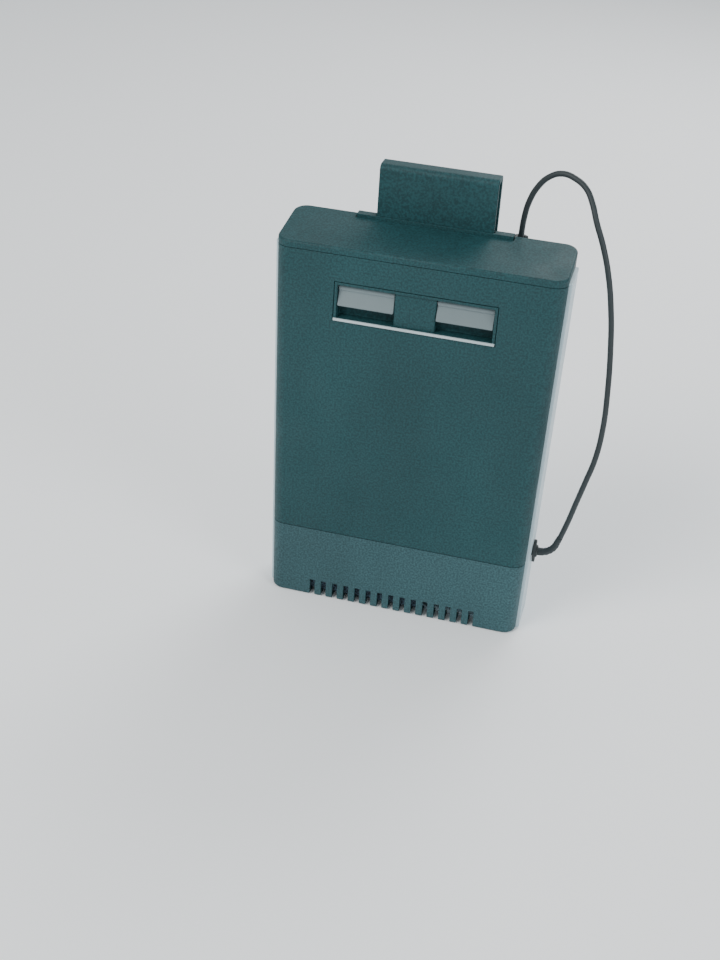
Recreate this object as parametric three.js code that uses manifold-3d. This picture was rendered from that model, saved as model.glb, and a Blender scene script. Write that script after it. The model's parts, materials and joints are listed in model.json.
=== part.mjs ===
// Hang-on box filter for a nano aquarium: a slim two-shell case with a comb of intake slots
// along its bottom edge, a louvred outlet near its top, a lift-out media basket, a magnetic
// drive pump, and a hook that hangs it on the rim of a 4 mm glass pane.
// Millimetres. +Z up, the front faces -Y, and the origin is the middle of the flat bottom.
import * as THREE from 'three';
import { mergeVertices } from 'three/addons/utils/BufferGeometryUtils.js';
import Module from 'manifold-3d';

const wasm = await Module();
wasm.setup();

// ---------------------------------------------------------------- driving dimensions
const GAP = 0.3;              // clearance between pieces that touch or seat
const SLIDE_GAP = 0.5;        // clearance each side of a piece that slides

const CASE_TOP = 213.5;       // highest point of the lid
const TOP_WIDTH = 145;        // case width at CASE_TOP
const BOTTOM_WIDTH = 139;     // case width at the floor
const DEPTH = 38;             // front face to rear face
const FRONT_SHELL_DEPTH = 8;  // how much of the depth the dark front shell takes
const WALL = 2;               // shell thickness
const CORNER = 7;             // plan radius of the case corners
const RAIL_PROUD = 1.6;       // how far the rear housing's side rails stand out
const BASE_SEAM = 43.5;       // seam between the intake base and the front cover
const LID_HEIGHT = 8.5;       // lid seam to CASE_TOP
const LID_DROP = 5;           // how much lower the lid's front edge is than CASE_TOP

const SLOT_COUNT = 15;
const SLOT_PITCH = 6.45;
const SLOT_WIDTH = 2.9;
const SLOT_HEIGHT = 10;
const SLOT_REACH = 8;         // how far a slot runs into the floor

const OUTLET_WIDTH = 82;
const OUTLET_DROP = 35;       // lid seam down to the outlet's floor
const OUTLET_HEIGHT = 20.5;
const OUTLET_DEPTH = 8;
const OUTLET_WALL = 1.4;
const OUTLET_LIP = 1;         // how far the lip stands out of the front
const OUTLET_DIVIDER = 21;    // width of the block between the two louvres
const FLAP_HEIGHT = 9.5;
const FLAP_THICKNESS = 1.6;
const FLAP_TILT = 20 * Math.PI / 180;
const FLAP_PIN_RADIUS = 1;

const SOCKET_WIDTH = 80;      // hanger socket on the rear of the case
const SOCKET_DEPTH = 5;
const SOCKET_HEIGHT = 64.5;
const SOCKET_PROUD = 1;       // how far it stands above the lid
const SOCKET_SCREW_DROP = 32.5;
const GLASS = 4;              // thickness of the pane the filter hangs on
const GLASS_PLAY = 0.4;       // room left beside the pane
const RIM_RISE = 25;          // CASE_TOP up to the top edge of the pane
const HANGER_WIDTH = 60;
const HANGER_THICKNESS = 2;
const HANGER_LEG = 36;        // how far the hook reaches down behind the pane
const HANGER_PAD = 0.9;

const BASKET_WALL = 1.5;
const BASKET_DROP = 45;       // lid seam down to the basket's edge
const HANDLE_DROP = 6;        // lid seam down to the basket's grip
const FINE_HEIGHT = 25;       // the two upper layers; the coarse sponge takes the rest
const BAG_HEIGHT = 33;
const MEDIA_DROP = 10;        // basket's edge down to the top layer
const LAYER_GAP = 1;
const SHELF_THICKNESS = 2;
const DIVIDER_X = 17;         // left face of the wall between the basket and the pump
const DIVIDER_THICKNESS = 1.6;
const DIVIDER_DROP = 9;       // lid seam down to the divider's top
const POST_CLEARANCE = 1.25;  // basket to the screw posts that it slides past
const DECK_BOTTOM = 11;       // deck that carries the pump, over the slots
const DECK_THICKNESS = 1.6;

const PUMP_RIGHT = 59;        // right face of the motor cap
const MOTOR_CAP = 1.7;        // its thickness
const PUMP_COVER = 9.7;       // thickness of the pump cover
const PUMP_HALF_DEPTH = 15;
const PUMP_CROWN = 11;        // extra height over the coil
const ROTOR_RADIUS = 6.4;
const ROTOR_LENGTH = 15;
const IMPELLER_RADIUS = 10;
const IMPELLER_BLADES = 6;
const VOLUTE_WALL = 4;        // impeller's edge to the outside of the pump cover
const SHAFT_RADIUS = 1;
const RISER_RADIUS = 4.5;
const RISER_BORE = 3.2;
const RISER_BEND = 9;

const GLAND_Y = 1.5;
const GLAND_Z = BASE_SEAM;
const GLAND_RADIUS = 2.9;
const GLAND_PLATE_HEIGHT = 14;
const GLAND_PLATE_WIDTH = 7.4;
const GLAND_PLATE_THICKNESS = 1.6;

const POST_RADIUS = 3.5;
const SCREW_RADIUS = 1.2;
const SCREW_HEAD_RADIUS = 2.5;
const SCREW_HEAD = 1.6;
const SCREW_GRIP = 4;         // how far a case screw reaches into the front shell
const LOWER_POST = 28;
const UPPER_POST_DROP = 9;    // lid seam down to the upper screws
const BUMPER_RADIUS = 6;
const BUMPER_PROUD = 0.8;
const BUMPER_SEAT = 1.2;       // how deep a bumper sits in the housing
const BUMPER_X = 52;
const BUMPER_Z = 30;

const CORD_RADIUS = 1.5;
const CORD_SIDES = 8;
const RELIEF_RADIUS = 2.2;    // strain relief sleeve on the cord
const RELIEF_BEND = 9;
const RELIEF_LEAD = 1.2;      // straight start of the sleeve
const RELIEF_TIP = 5;         // straight end of the sleeve
const CLIP_X = 42;            // cord clip on the hook
const CLIP_DROP = 35.5;       // rim down to the clip
const CLIP_HEIGHT = 7;
const COIL_X = 6.5;
const COIL_Y = 48.6;
const COIL_TURNS = [12, 21];  // radii of the innermost and outermost turns
const COIL_LAYERS = 2;
const COIL_LIFT = 0.1;
const TIE_WIDTH = 6;
const TIE_THICKNESS = 0.8;
const PLUG = { length: 34, width: 26, height: 13.6, at: [-21, 33], turn: -Math.PI / 6 };
const PLUG_PIN = { radius: 2, length: 18, spacing: 19 };

// ---------------------------------------------------------------- derived planes
const FRONT = -DEPTH / 2;
const REAR = DEPTH / 2;
const SPLIT = FRONT + FRONT_SHELL_DEPTH;
const SOCKET_FACE = REAR - SOCKET_DEPTH;
const SOCKET_BACKING = SOCKET_FACE - GAP - 1.7;
const BASKET_REAR = SOCKET_BACKING - SLIDE_GAP;
const OUTLET_REAR = FRONT + OUTLET_DEPTH;
const BASKET_FRONT = OUTLET_REAR + SLIDE_GAP;
const SHELF_TOP = BASE_SEAM + 1.5 + SHELF_THICKNESS;
const LID_SEAM = CASE_TOP - LID_HEIGHT;
const LID_FRONT_TOP = CASE_TOP - LID_DROP;
const SOCKET_TOP = CASE_TOP + SOCKET_PROUD;
const SOCKET_BOTTOM = SOCKET_TOP - SOCKET_HEIGHT;
const RIM = CASE_TOP + RIM_RISE;
const OUTLET_BOTTOM = LID_SEAM - OUTLET_DROP;
const OUTLET_TOP = OUTLET_BOTTOM + OUTLET_HEIGHT;
const BASKET_TOP = LID_SEAM - BASKET_DROP;
const BASKET_HANDLE_TOP = LID_SEAM - HANDLE_DROP;
const DIVIDER_TOP = LID_SEAM - DIVIDER_DROP;
const POST_HEIGHTS = [LOWER_POST, LID_SEAM - UPPER_POST_DROP];
const CLIP_BOTTOM = RIM - CLIP_DROP;
const PUMP_LENGTH = ROTOR_LENGTH + 8;      // motor body
const PUMP_HEIGHT = 2 * (IMPELLER_RADIUS + VOLUTE_WALL);
const MOTOR_RIGHT = PUMP_RIGHT - MOTOR_CAP - GAP;
const MOTOR_LEFT = MOTOR_RIGHT - PUMP_LENGTH;
const PUMP_LEFT = MOTOR_LEFT - GAP - PUMP_COVER;
const PUMP_FLOOR = DECK_BOTTOM + DECK_THICKNESS + GAP;
const PUMP_AXIS_Z = PUMP_FLOOR + PUMP_HEIGHT / 2;
const RISER_X = PUMP_LEFT + 5;
const BASKET_RIGHT = DIVIDER_X - 3 * SLIDE_GAP;

const halfWidthAt = (z) => (BOTTOM_WIDTH + (TOP_WIDTH - BOTTOM_WIDTH) * z / CASE_TOP) / 2;
const postX = (z) => halfWidthAt(z) - WALL - 3;
const BASKET_LEFT = POST_RADIUS + POST_CLEARANCE - postX(POST_HEIGHTS[1]);

// ---------------------------------------------------------------- materials
const plastic = (color, roughness) => new THREE.MeshStandardMaterial({ color, roughness });
const darkShell = plastic(0x46585c, 0.45);
const paleShell = plastic(0xb4c8ce, 0.3);
const paleGrey = plastic(0x9fb0b3, 0.4);
const blackPlastic = plastic(0x1c2224, 0.5);
const rubber = plastic(0x151819, 0.8);
const coarseFoam = plastic(0x2a3c4c, 0.95);
const fineFoam = plastic(0xe4e7e2, 0.95);
const ceramicWhite = plastic(0xe9e6dc, 0.3);
const steel = new THREE.MeshStandardMaterial({ color: 0xb9bdbf, roughness: 0.3, metalness: 1 });
const copper = new THREE.MeshStandardMaterial({ color: 0xb0632f, roughness: 0.4, metalness: 1 });
const magnetGrey = new THREE.MeshStandardMaterial({ color: 0x3a3b3d, roughness: 0.5, metalness: 0.6 });

// ---------------------------------------------------------------- shapes and solids
const AXES = {
  X: [new THREE.Vector3(0, 1, 0), new THREE.Vector3(0, 0, 1), new THREE.Vector3(1, 0, 0)],
  Y: [new THREE.Vector3(0, 0, 1), new THREE.Vector3(1, 0, 0), new THREE.Vector3(0, 1, 0)],
  Z: [new THREE.Vector3(1, 0, 0), new THREE.Vector3(0, 1, 0), new THREE.Vector3(0, 0, 1)],
};

function solid(geometry) {
  geometry.deleteAttribute('normal');
  geometry.deleteAttribute('uv');
  const merged = mergeVertices(geometry, 1e-5);
  return new wasm.Manifold(new wasm.Mesh({
    numProp: 3,
    vertProperties: new Float32Array(merged.attributes.position.array),
    triVerts: new Uint32Array(merged.index.array),
  }));
}

function geometryOf(body) {
  const mesh = body.getMesh();
  const geometry = new THREE.BufferGeometry();
  geometry.setAttribute('position', new THREE.BufferAttribute(mesh.vertProperties, 3));
  geometry.setIndex(new THREE.BufferAttribute(mesh.triVerts, 1));
  geometry.computeVertexNormals();
  return geometry;
}

function block(x, y, z) {
  const geometry = new THREE.BoxGeometry(x[1] - x[0], y[1] - y[0], z[1] - z[0]);
  geometry.translate((x[0] + x[1]) / 2, (y[0] + y[1]) / 2, (z[0] + z[1]) / 2);
  return solid(geometry);
}

// A shape drawn across an axis, pushed from one place to another along it.
function prism(shape, axis, from, to, curveSegments = 6) {
  const geometry = new THREE.ExtrudeGeometry(shape, {
    depth: to - from, bevelEnabled: false, curveSegments });
  geometry.translate(0, 0, from);
  geometry.applyMatrix4(new THREE.Matrix4().makeBasis(...AXES[axis]));
  return geometry;
}

// Round bar along an axis; centre gives the two other coordinates in the order of AXES.
function bar(axis, radius, from, to, centre, sides = 20) {
  const outline = [];
  for (let i = 0; i < sides; i++) {
    const turn = 2 * Math.PI * i / sides;
    outline.push(new THREE.Vector2(
      centre[0] + radius * Math.cos(turn), centre[1] + radius * Math.sin(turn)));
  }
  return solid(prism(new THREE.Shape(outline), axis, from, to));
}

// The case's plan, inset all round, pushed up from one height to another and tapered.
function casePlan(inset, from, to) {
  const x = TOP_WIDTH / 2 - inset;
  const y = DEPTH / 2 - inset;
  const r = Math.max(CORNER - inset, 0.5);
  const shape = new THREE.Shape();
  shape.moveTo(-x + r, -y).lineTo(x - r, -y);
  shape.absarc(x - r, -y + r, r, -Math.PI / 2, 0, false);
  shape.lineTo(x, y - r).absarc(x - r, y - r, r, 0, Math.PI / 2, false);
  shape.lineTo(-x + r, y).absarc(-x + r, y - r, r, Math.PI / 2, Math.PI, false);
  shape.lineTo(-x, -y + r).absarc(-x + r, -y + r, r, Math.PI, 1.5 * Math.PI, false);
  const geometry = prism(shape, 'Z', from, to);
  const points = geometry.attributes.position;
  for (let i = 0; i < points.count; i++) {
    const narrower = TOP_WIDTH / 2 - halfWidthAt(points.getZ(i));
    points.setX(i, points.getX(i) - Math.sign(points.getX(i)) * narrower);
  }
  return solid(geometry);
}

// A wedge across the case whose top follows the slope of the lid, lowered by some depth.
function underLidSlope(lowered) {
  const rise = (CASE_TOP - LID_FRONT_TOP) / DEPTH;
  const topAt = (y) => LID_FRONT_TOP + rise * (y - FRONT) - lowered;
  const shape = new THREE.Shape([
    new THREE.Vector2(FRONT - 1, LID_SEAM - 5), new THREE.Vector2(REAR + 1, LID_SEAM - 5),
    new THREE.Vector2(REAR + 1, topAt(REAR + 1)), new THREE.Vector2(FRONT - 1, topAt(FRONT - 1))]);
  return solid(prism(shape, 'X', -TOP_WIDTH, TOP_WIDTH));
}

function tube(points, radius, bore, steps, sides = CORD_SIDES) {
  const ring = (r) => Array.from({ length: sides }, (_, i) => {
    const turn = 2 * Math.PI * (i + 0.5) / sides;
    return new THREE.Vector2(r * Math.cos(turn), r * Math.sin(turn));
  });
  const shape = new THREE.Shape(ring(radius));
  if (bore > 0) shape.holes.push(new THREE.Path(ring(bore)));
  const path = new THREE.CatmullRomCurve3(points.map((p) => new THREE.Vector3(...p)), false, 'centripetal');
  return new THREE.ExtrudeGeometry(shape, { extrudePath: path, steps, bevelEnabled: false });
}

const object = new THREE.Group();
function piece(name, body, material) {
  const geometry = body.isBufferGeometry ? body : geometryOf(body);
  const mesh = new THREE.Mesh(geometry, material);
  mesh.name = name;
  object.add(mesh);
  return mesh;
}

const union = (...bodies) => bodies.reduce((a, b) => a.add(b));
const WIDE = [-TOP_WIDTH, TOP_WIDTH];

// ---------------------------------------------------------------- case: cuts that shells share
function slotCuts() {
  const cuts = [];
  for (let i = 0; i < SLOT_COUNT; i++) {
    const x = (i - (SLOT_COUNT - 1) / 2) * SLOT_PITCH;
    const across = [x - SLOT_WIDTH / 2, x + SLOT_WIDTH / 2];
    cuts.push(block(across, [FRONT - 1, FRONT + SLOT_REACH], [-1, SLOT_HEIGHT]));
    cuts.push(block(across, [REAR - SLOT_REACH, REAR + 1], [-1, SLOT_HEIGHT]));
  }
  return union(...cuts);
}

function shellRing(from, to, floor) {
  return casePlan(0, from, to).subtract(casePlan(WALL, from + floor, to + 1));
}


// Screw posts of a shell, each with its hole, at the given heights.
function withPosts(shell, heights, from, to, headTo) {
  let body = shell;
  const withinWalls = casePlan(WALL / 2, 0, LID_SEAM);
  for (const z of heights) {
    for (const side of [-1, 1]) {
      const centre = [z, side * postX(z)];
      body = body.add(bar('Y', POST_RADIUS, from, to, centre).intersect(withinWalls));
      body = body.subtract(bar('Y', SCREW_RADIUS + GAP, SPLIT - SCREW_GRIP - 1, REAR + 1, centre, 16));
      if (headTo) body = body.subtract(bar('Y', SCREW_HEAD_RADIUS + GAP, headTo, REAR + 1, centre));
    }
  }
  return body;
}
const SCREW_SEAT = SPLIT + 8;

// ---------------------------------------------------------------- case: shells
function rearHousing() {
  let body = shellRing(0, LID_SEAM - GAP / 2, WALL);
  body = body.intersect(block(WIDE, [SPLIT + GAP / 2, REAR], [0, LID_SEAM]));
  const rails = casePlan(-RAIL_PROUD, 0, LID_SEAM - GAP / 2).subtract(casePlan(WALL, -1, LID_SEAM));
  body = body.add(rails.intersect(block(WIDE, [SPLIT + GAP / 2, REAR - CORNER], [0, LID_SEAM])));
  const inner = [FRONT + WALL + GAP, REAR - WALL / 2];
  const halfSocket = SOCKET_WIDTH / 2 + GAP;
  body = body.add(block([-halfSocket - WALL, halfSocket + WALL], [SOCKET_BACKING, REAR],
    [SOCKET_BOTTOM - GAP - WALL, LID_SEAM - GAP / 2]));
  const clearOfCover = casePlan(WALL + GAP, 0, LID_SEAM);
  const rearSpan = [SPLIT + 2 * GAP, REAR - 1];
  const plate = (x, z) => union(block(x, inner, z).intersect(clearOfCover),
    block(x, rearSpan, z).intersect(casePlan(WALL / 2, 0, LID_SEAM)));
  let shelf = plate([-TOP_WIDTH, DIVIDER_X + DIVIDER_THICKNESS], [SHELF_TOP - SHELF_THICKNESS, SHELF_TOP]);
  for (let x = BASKET_LEFT + 6; x < DIVIDER_X - 6; x += 9) {
    shelf = shelf.subtract(block([x, x + 5], [BASKET_FRONT + 2, BASKET_REAR - 2], [0, SHELF_TOP + 1]));
  }
  const dividerSpan = [DIVIDER_X, DIVIDER_X + DIVIDER_THICKNESS];
  const divider = block(dividerSpan, inner, [DECK_BOTTOM, DIVIDER_TOP])
    .subtract(block([DIVIDER_X - 1, DIVIDER_X + DIVIDER_THICKNESS + 1],
      [FRONT, OUTLET_REAR + SLIDE_GAP], [OUTLET_BOTTOM - 8, CASE_TOP]));
  const deck = plate([DIVIDER_X, TOP_WIDTH], [DECK_BOTTOM, DECK_BOTTOM + DECK_THICKNESS]);
  body = union(body, shelf, divider, deck);
  body = body.subtract(block([-halfSocket, halfSocket], [SOCKET_FACE - GAP, REAR + 1],
    [SOCKET_BOTTOM - GAP, CASE_TOP]));
  body = withPosts(body, POST_HEIGHTS, SPLIT + GAP / 2, REAR - 1, SCREW_SEAT);
  for (const side of [-1, 1]) {
    const bumper = [BUMPER_Z, side * BUMPER_X];
    const screw = [SOCKET_SCREW_Z, side * SOCKET_SCREW_X];
    body = body.subtract(bar('Y', BUMPER_RADIUS + GAP, REAR - BUMPER_SEAT - GAP, REAR + 1, bumper));
    body = body.subtract(bar('Y', SCREW_RADIUS + GAP, SOCKET_BACKING - 1, REAR, screw, 16));
  }
  body = body.subtract(bar('X', GLAND_RADIUS + GAP, 50, TOP_WIDTH, [GLAND_Y, GLAND_Z]));
  return body.subtract(slotCuts());
}

function frontCover() {
  let body = shellRing(BASE_SEAM + GAP / 2, LID_SEAM - GAP / 2, 0);
  body = body.intersect(block(WIDE, [FRONT, SPLIT - GAP / 2], [0, LID_SEAM]));
  body = withPosts(body, [POST_HEIGHTS[1]], FRONT + 1, SPLIT - GAP / 2, 0);
  const half = OUTLET_WIDTH / 2 + GAP;
  return body.subtract(block([-half, half], [FRONT - 1, FRONT + 2 * WALL],
    [OUTLET_BOTTOM - GAP, OUTLET_TOP + GAP]));
}

function intakeBase() {
  let body = shellRing(0, BASE_SEAM - GAP / 2, WALL);
  body = body.intersect(block(WIDE, [FRONT, SPLIT - GAP / 2], [0, BASE_SEAM]));
  body = withPosts(body, [POST_HEIGHTS[0]], FRONT + 1, SPLIT - GAP / 2, 0);
  return body.subtract(slotCuts());
}

function lid() {
  const outside = casePlan(0, LID_SEAM + GAP / 2, CASE_TOP).intersect(underLidSlope(0));
  const inside = casePlan(WALL, LID_SEAM - 3, CASE_TOP - 0.1).intersect(underLidSlope(WALL));
  const halfSocket = SOCKET_WIDTH / 2 + SLIDE_GAP;
  return outside.subtract(inside).add(block([-halfSocket - WALL, halfSocket + WALL],
    [SOCKET_FACE - SLIDE_GAP - WALL, REAR - WALL], [LID_SEAM + GAP / 2, LID_FRONT_TOP]))
    .subtract(block([-halfSocket, halfSocket], [SOCKET_FACE - SLIDE_GAP, REAR + 1], [0, CASE_TOP + 1]));
}

// ---------------------------------------------------------------- hook and its socket
const SOCKET_SCREW_X = (HANGER_WIDTH / 2 + SOCKET_WIDTH / 2) / 2;
const SOCKET_SCREW_Z = SOCKET_TOP - SOCKET_SCREW_DROP;
const HANGER_FACE = SOCKET_FACE + 1.4;      // front face of the hanger plate
const LEG_FACE = REAR + GLASS + GLASS_PLAY + HANGER_PAD + GAP;

function hangerSocket() {
  const half = SOCKET_WIDTH / 2;
  let body = block([-half, half], [SOCKET_FACE, REAR], [SOCKET_BOTTOM, SOCKET_TOP]);
  const channel = HANGER_WIDTH / 2 + GAP;
  body = body.subtract(block([-channel, channel],
    [HANGER_FACE - GAP, HANGER_FACE + HANGER_THICKNESS + GAP], [SOCKET_BOTTOM + 2, SOCKET_TOP + 1]));
  for (const side of [-1, 1]) {
    const centre = [SOCKET_SCREW_Z, side * SOCKET_SCREW_X];
    body = body.subtract(bar('Y', SCREW_RADIUS + GAP, SOCKET_FACE - 1, REAR + 1, centre, 16));
    body = body.subtract(bar('Y', SCREW_HEAD_RADIUS + GAP, REAR - SCREW_HEAD - 2 * GAP, REAR + 1, centre));
  }
  return body;
}

function hanger() {
  const half = HANGER_WIDTH / 2;
  const rise = HANGER_THICKNESS + 0.5;
  const outer = 3;
  const shape = new THREE.Shape();
  const foot = SOCKET_BOTTOM + 2 + GAP;
  shape.moveTo(HANGER_FACE, foot).lineTo(HANGER_FACE + HANGER_THICKNESS, foot);
  shape.lineTo(HANGER_FACE + HANGER_THICKNESS, RIM).lineTo(LEG_FACE, RIM).lineTo(LEG_FACE, RIM - HANGER_LEG);
  shape.lineTo(LEG_FACE + rise, RIM - HANGER_LEG).lineTo(LEG_FACE + rise, RIM + rise - outer);
  shape.absarc(LEG_FACE + rise - outer, RIM + rise - outer, outer, 0, Math.PI / 2, false);
  shape.lineTo(HANGER_FACE + outer, RIM + rise);
  shape.absarc(HANGER_FACE + outer, RIM + rise - outer, outer, Math.PI / 2, Math.PI, false);
  return solid(prism(shape, 'X', -half, half));
}
const LEG_REAR = LEG_FACE + HANGER_THICKNESS + 0.5;
const CLIP_Y = LEG_REAR + 0.5;

function cordClip() {
  const outer = CORD_RADIUS + 2.4;
  const z = [CLIP_BOTTOM, CLIP_BOTTOM + CLIP_HEIGHT];
  let body = block([HANGER_WIDTH / 2 - 14, CLIP_X], [LEG_REAR + GAP, LEG_REAR + GAP + 1.8], z);
  body = body.add(bar('Z', outer, z[0], z[1], [CLIP_X, CLIP_Y]));
  body = body.subtract(bar('Z', CORD_RADIUS + GAP, z[0] - 1, z[1] + 1, [CLIP_X, CLIP_Y]));
  return body.subtract(block([CLIP_X, CLIP_X + outer + 1], [CLIP_Y - 1.3, CLIP_Y + 1.3], [z[0] - 1, z[1] + 1]));
}

// ---------------------------------------------------------------- outlet
const PIN_Y = FRONT + 4;
const PIN_Z = OUTLET_TOP - OUTLET_WALL - 2.4;
const FLAP_SPAN = [OUTLET_DIVIDER / 2 + GAP, OUTLET_WIDTH / 2 - OUTLET_WALL - GAP];

function outletTray() {
  const half = OUTLET_WIDTH / 2;
  const w = OUTLET_WALL;
  let body = block([-half, half], [FRONT, OUTLET_REAR], [OUTLET_BOTTOM, OUTLET_TOP]);
  body = body.subtract(block([-half + w, half - w], [FRONT - 1, OUTLET_REAR - w],
    [OUTLET_BOTTOM + w, OUTLET_TOP - w]));
  body = body.add(block([-OUTLET_DIVIDER / 2, OUTLET_DIVIDER / 2], [FRONT + 1, FRONT + 5.6],
    [OUTLET_BOTTOM + w / 2, OUTLET_TOP - w / 2]));
  body = body.add(block([-half, half], [FRONT - OUTLET_LIP, FRONT + 1], [OUTLET_BOTTOM, OUTLET_BOTTOM + w]));
  body = body.subtract(bar('X', FLAP_PIN_RADIUS + GAP, -half - 1, half + 1, [PIN_Y, PIN_Z], 16));
  return body.subtract(bar('Y', RISER_RADIUS + GAP, FRONT + 6, REAR, [RISER_Z, RISER_X]));
}
const RISER_Z = OUTLET_BOTTOM + OUTLET_HEIGHT / 2;

function outletFlap(side) {
  const span = side > 0 ? FLAP_SPAN : FLAP_SPAN.map((x) => -x).reverse();
  let body = block(span, [-FLAP_THICKNESS / 2, FLAP_THICKNESS / 2], [-FLAP_HEIGHT, 0]);
  body = body.add(bar('X', FLAP_PIN_RADIUS + 0.9, span[0], span[1], [0, 0], 20));
  return body.subtract(bar('X', FLAP_PIN_RADIUS + 0.12, span[0] - 1, span[1] + 1, [0, 0], 20));
}

// ---------------------------------------------------------------- basket and media
function mediaBasket() {
  const x = [BASKET_LEFT, BASKET_RIGHT];
  const y = [BASKET_FRONT, BASKET_REAR];
  const z = [SHELF_TOP + GAP, BASKET_TOP];
  const w = BASKET_WALL;
  let body = block(x, y, z).subtract(block([x[0] + w, x[1] - w], [y[0] + w, y[1] - w], [z[0] + w, z[1] + 1]));
  const columns = 6;
  const rows = 4;
  const pitchX = (x[1] - x[0] - 2 * w) / columns;
  const pitchZ = (z[1] - z[0] - 3 * w) / rows;
  for (let i = 0; i < columns; i++) {
    const left = x[0] + w + pitchX * i + w / 2;
    const window = [left, left + pitchX - w];
    body = body.subtract(block(window, [y[0] + 4, y[1] - 4], [z[0] - 1, z[0] + w + 1]));
    for (let j = 0; j < rows; j++) {
      const low = z[0] + 2 * w + pitchZ * j;
      body = body.subtract(block(window, [y[0] - 1, y[1] + 1], [low, low + pitchZ - w]));
    }
  }
  const mid = (y[0] + y[1]) / 2;
  const grip = [mid - 4, mid + 4];
  body = body.add(block([x[0], x[0] + 2], grip, [z[1] - 4, BASKET_HANDLE_TOP]));
  body = body.add(block([x[1] - 2, x[1]], grip, [z[1] - 4, BASKET_HANDLE_TOP]));
  return body.add(block(x, grip, [BASKET_HANDLE_TOP - 3, BASKET_HANDLE_TOP]));
}

function basketPad(from, to) {
  const inset = BASKET_WALL + GAP;
  return block([BASKET_LEFT + inset, BASKET_RIGHT - inset],
    [BASKET_FRONT + inset, BASKET_REAR - inset], [from, to]);
}

// ---------------------------------------------------------------- pump
const AXIS = [0, PUMP_AXIS_Z];
const MOTOR_TOP = PUMP_FLOOR + PUMP_HEIGHT;
const CROWN_LEFT = RISER_X + 8;
const CORE_SIDE = [9.6, 12.8];             // each core leg's inner and outer face
const YOKE = [MOTOR_TOP - 1.5, MOTOR_TOP + 3];

function pumpCover() {
  let body = bar('X', IMPELLER_RADIUS + VOLUTE_WALL, PUMP_LEFT, PUMP_LEFT + PUMP_COVER, AXIS);
  body = body.add(bar('Z', 7, PUMP_AXIS_Z, MOTOR_TOP + 15, [RISER_X, 0]));
  body = body.subtract(block([PUMP_LEFT + PUMP_COVER, 60], [-20, 20], [0, MOTOR_TOP + GAP]));
  body = body.subtract(bar('X', IMPELLER_RADIUS + 1.3, PUMP_LEFT + 1.6, 60, AXIS));
  body = body.subtract(bar('Z', RISER_BORE, PUMP_AXIS_Z, MOTOR_TOP + 20, [RISER_X, 0]));
  body = body.subtract(bar('Z', RISER_RADIUS + GAP, MOTOR_TOP + 5, MOTOR_TOP + 20, [RISER_X, 0]));
  body = body.subtract(bar('Z', RISER_RADIUS + 1.6, MOTOR_TOP + 11, MOTOR_TOP + 20, [RISER_X, 0]));
  body = body.subtract(bar('X', 5.5, PUMP_LEFT - 1, PUMP_LEFT + 3, AXIS));
  const y = AXIS[0];
  body = body.add(block([PUMP_LEFT, PUMP_LEFT + 1.6], [y - 6, y + 6], [PUMP_AXIS_Z - 1.2, PUMP_AXIS_Z + 1.2]));
  body = body.add(bar('X', 3.4, PUMP_LEFT, PUMP_LEFT + 1.6, AXIS));
  return body.subtract(bar('X', SHAFT_RADIUS + 1 + GAP, PUMP_LEFT - 1, PUMP_LEFT + 2, AXIS));
}

function pumpBody() {
  const half = PUMP_HALF_DEPTH;
  let body = union(
    block([MOTOR_LEFT, MOTOR_RIGHT], [-half, half], [PUMP_FLOOR, MOTOR_TOP]),
    block([CROWN_LEFT, MOTOR_RIGHT], [-half, half], [PUMP_FLOOR, MOTOR_TOP + PUMP_CROWN]));
  body = body.subtract(bar('X', ROTOR_RADIUS + 1.1, MOTOR_LEFT - 1, MOTOR_LEFT + ROTOR_LENGTH + 3, AXIS));
  body = body.subtract(bar('X', SHAFT_RADIUS + 1 + GAP, MOTOR_LEFT, MOTOR_LEFT + ROTOR_LENGTH + 5, AXIS, 16));
  const pocket = [CROWN_LEFT + 2, MOTOR_RIGHT + 1];
  body = body.subtract(block(pocket, [-half + 1.8, half - 1.8], [MOTOR_TOP - 5, MOTOR_TOP + PUMP_CROWN - 2]));
  for (const side of [-1, 1]) {
    const span = CORE_SIDE.map((v) => side * v).sort((a, b) => a - b);
    body = body.subtract(block(pocket, [span[0] - 0.4, span[1] + 0.4], [PUMP_FLOOR + 3, MOTOR_TOP]));
  }
  return body;
}

function statorCore() {
  const x = [CROWN_LEFT + 3, CROWN_LEFT + 13];
  const [inner, outer] = CORE_SIDE;
  const low = PUMP_FLOOR + 4;
  return union(block(x, [-outer, outer], YOKE), block(x, [inner, outer], [low, YOKE[1]]),
    block(x, [-outer, -inner], [low, YOKE[1]]));
}

function statorCoil() {
  const body = block([CROWN_LEFT + 2.4, CROWN_LEFT + 15.6], [-8.6, 8.6], [MOTOR_TOP - 4.6, MOTOR_TOP + 7]);
  return body.subtract(block([CROWN_LEFT + 3 - GAP, CROWN_LEFT + 13 + GAP], [-10, 10],
    [YOKE[0] - GAP, YOKE[1] + GAP]));
}

function impeller() {
  const from = PUMP_LEFT + 3.4;
  const to = MOTOR_LEFT - 1;
  let body = bar('X', 3.2, from, to + 2, AXIS).add(bar('X', IMPELLER_RADIUS, to - 1.2, to, AXIS));
  for (let i = 0; i < IMPELLER_BLADES; i++) {
    const blade = solid(new THREE.BoxGeometry(to - from, IMPELLER_RADIUS - 1, 1)
      .translate((from + to) / 2, (IMPELLER_RADIUS - 1) / 2 + 0.8, 0)
      .rotateX(2 * Math.PI * i / IMPELLER_BLADES).translate(0, AXIS[0], AXIS[1]));
    body = body.add(blade);
  }
  return body.subtract(bar('X', SHAFT_RADIUS + 0.1, from - 1, to + 3, AXIS, 20));
}

const sleeve = (axis, outer, bore, from, to, centre) => bar(axis, outer, from, to, centre)
  .subtract(bar(axis, bore, from - 1, to + 1, centre));

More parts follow.
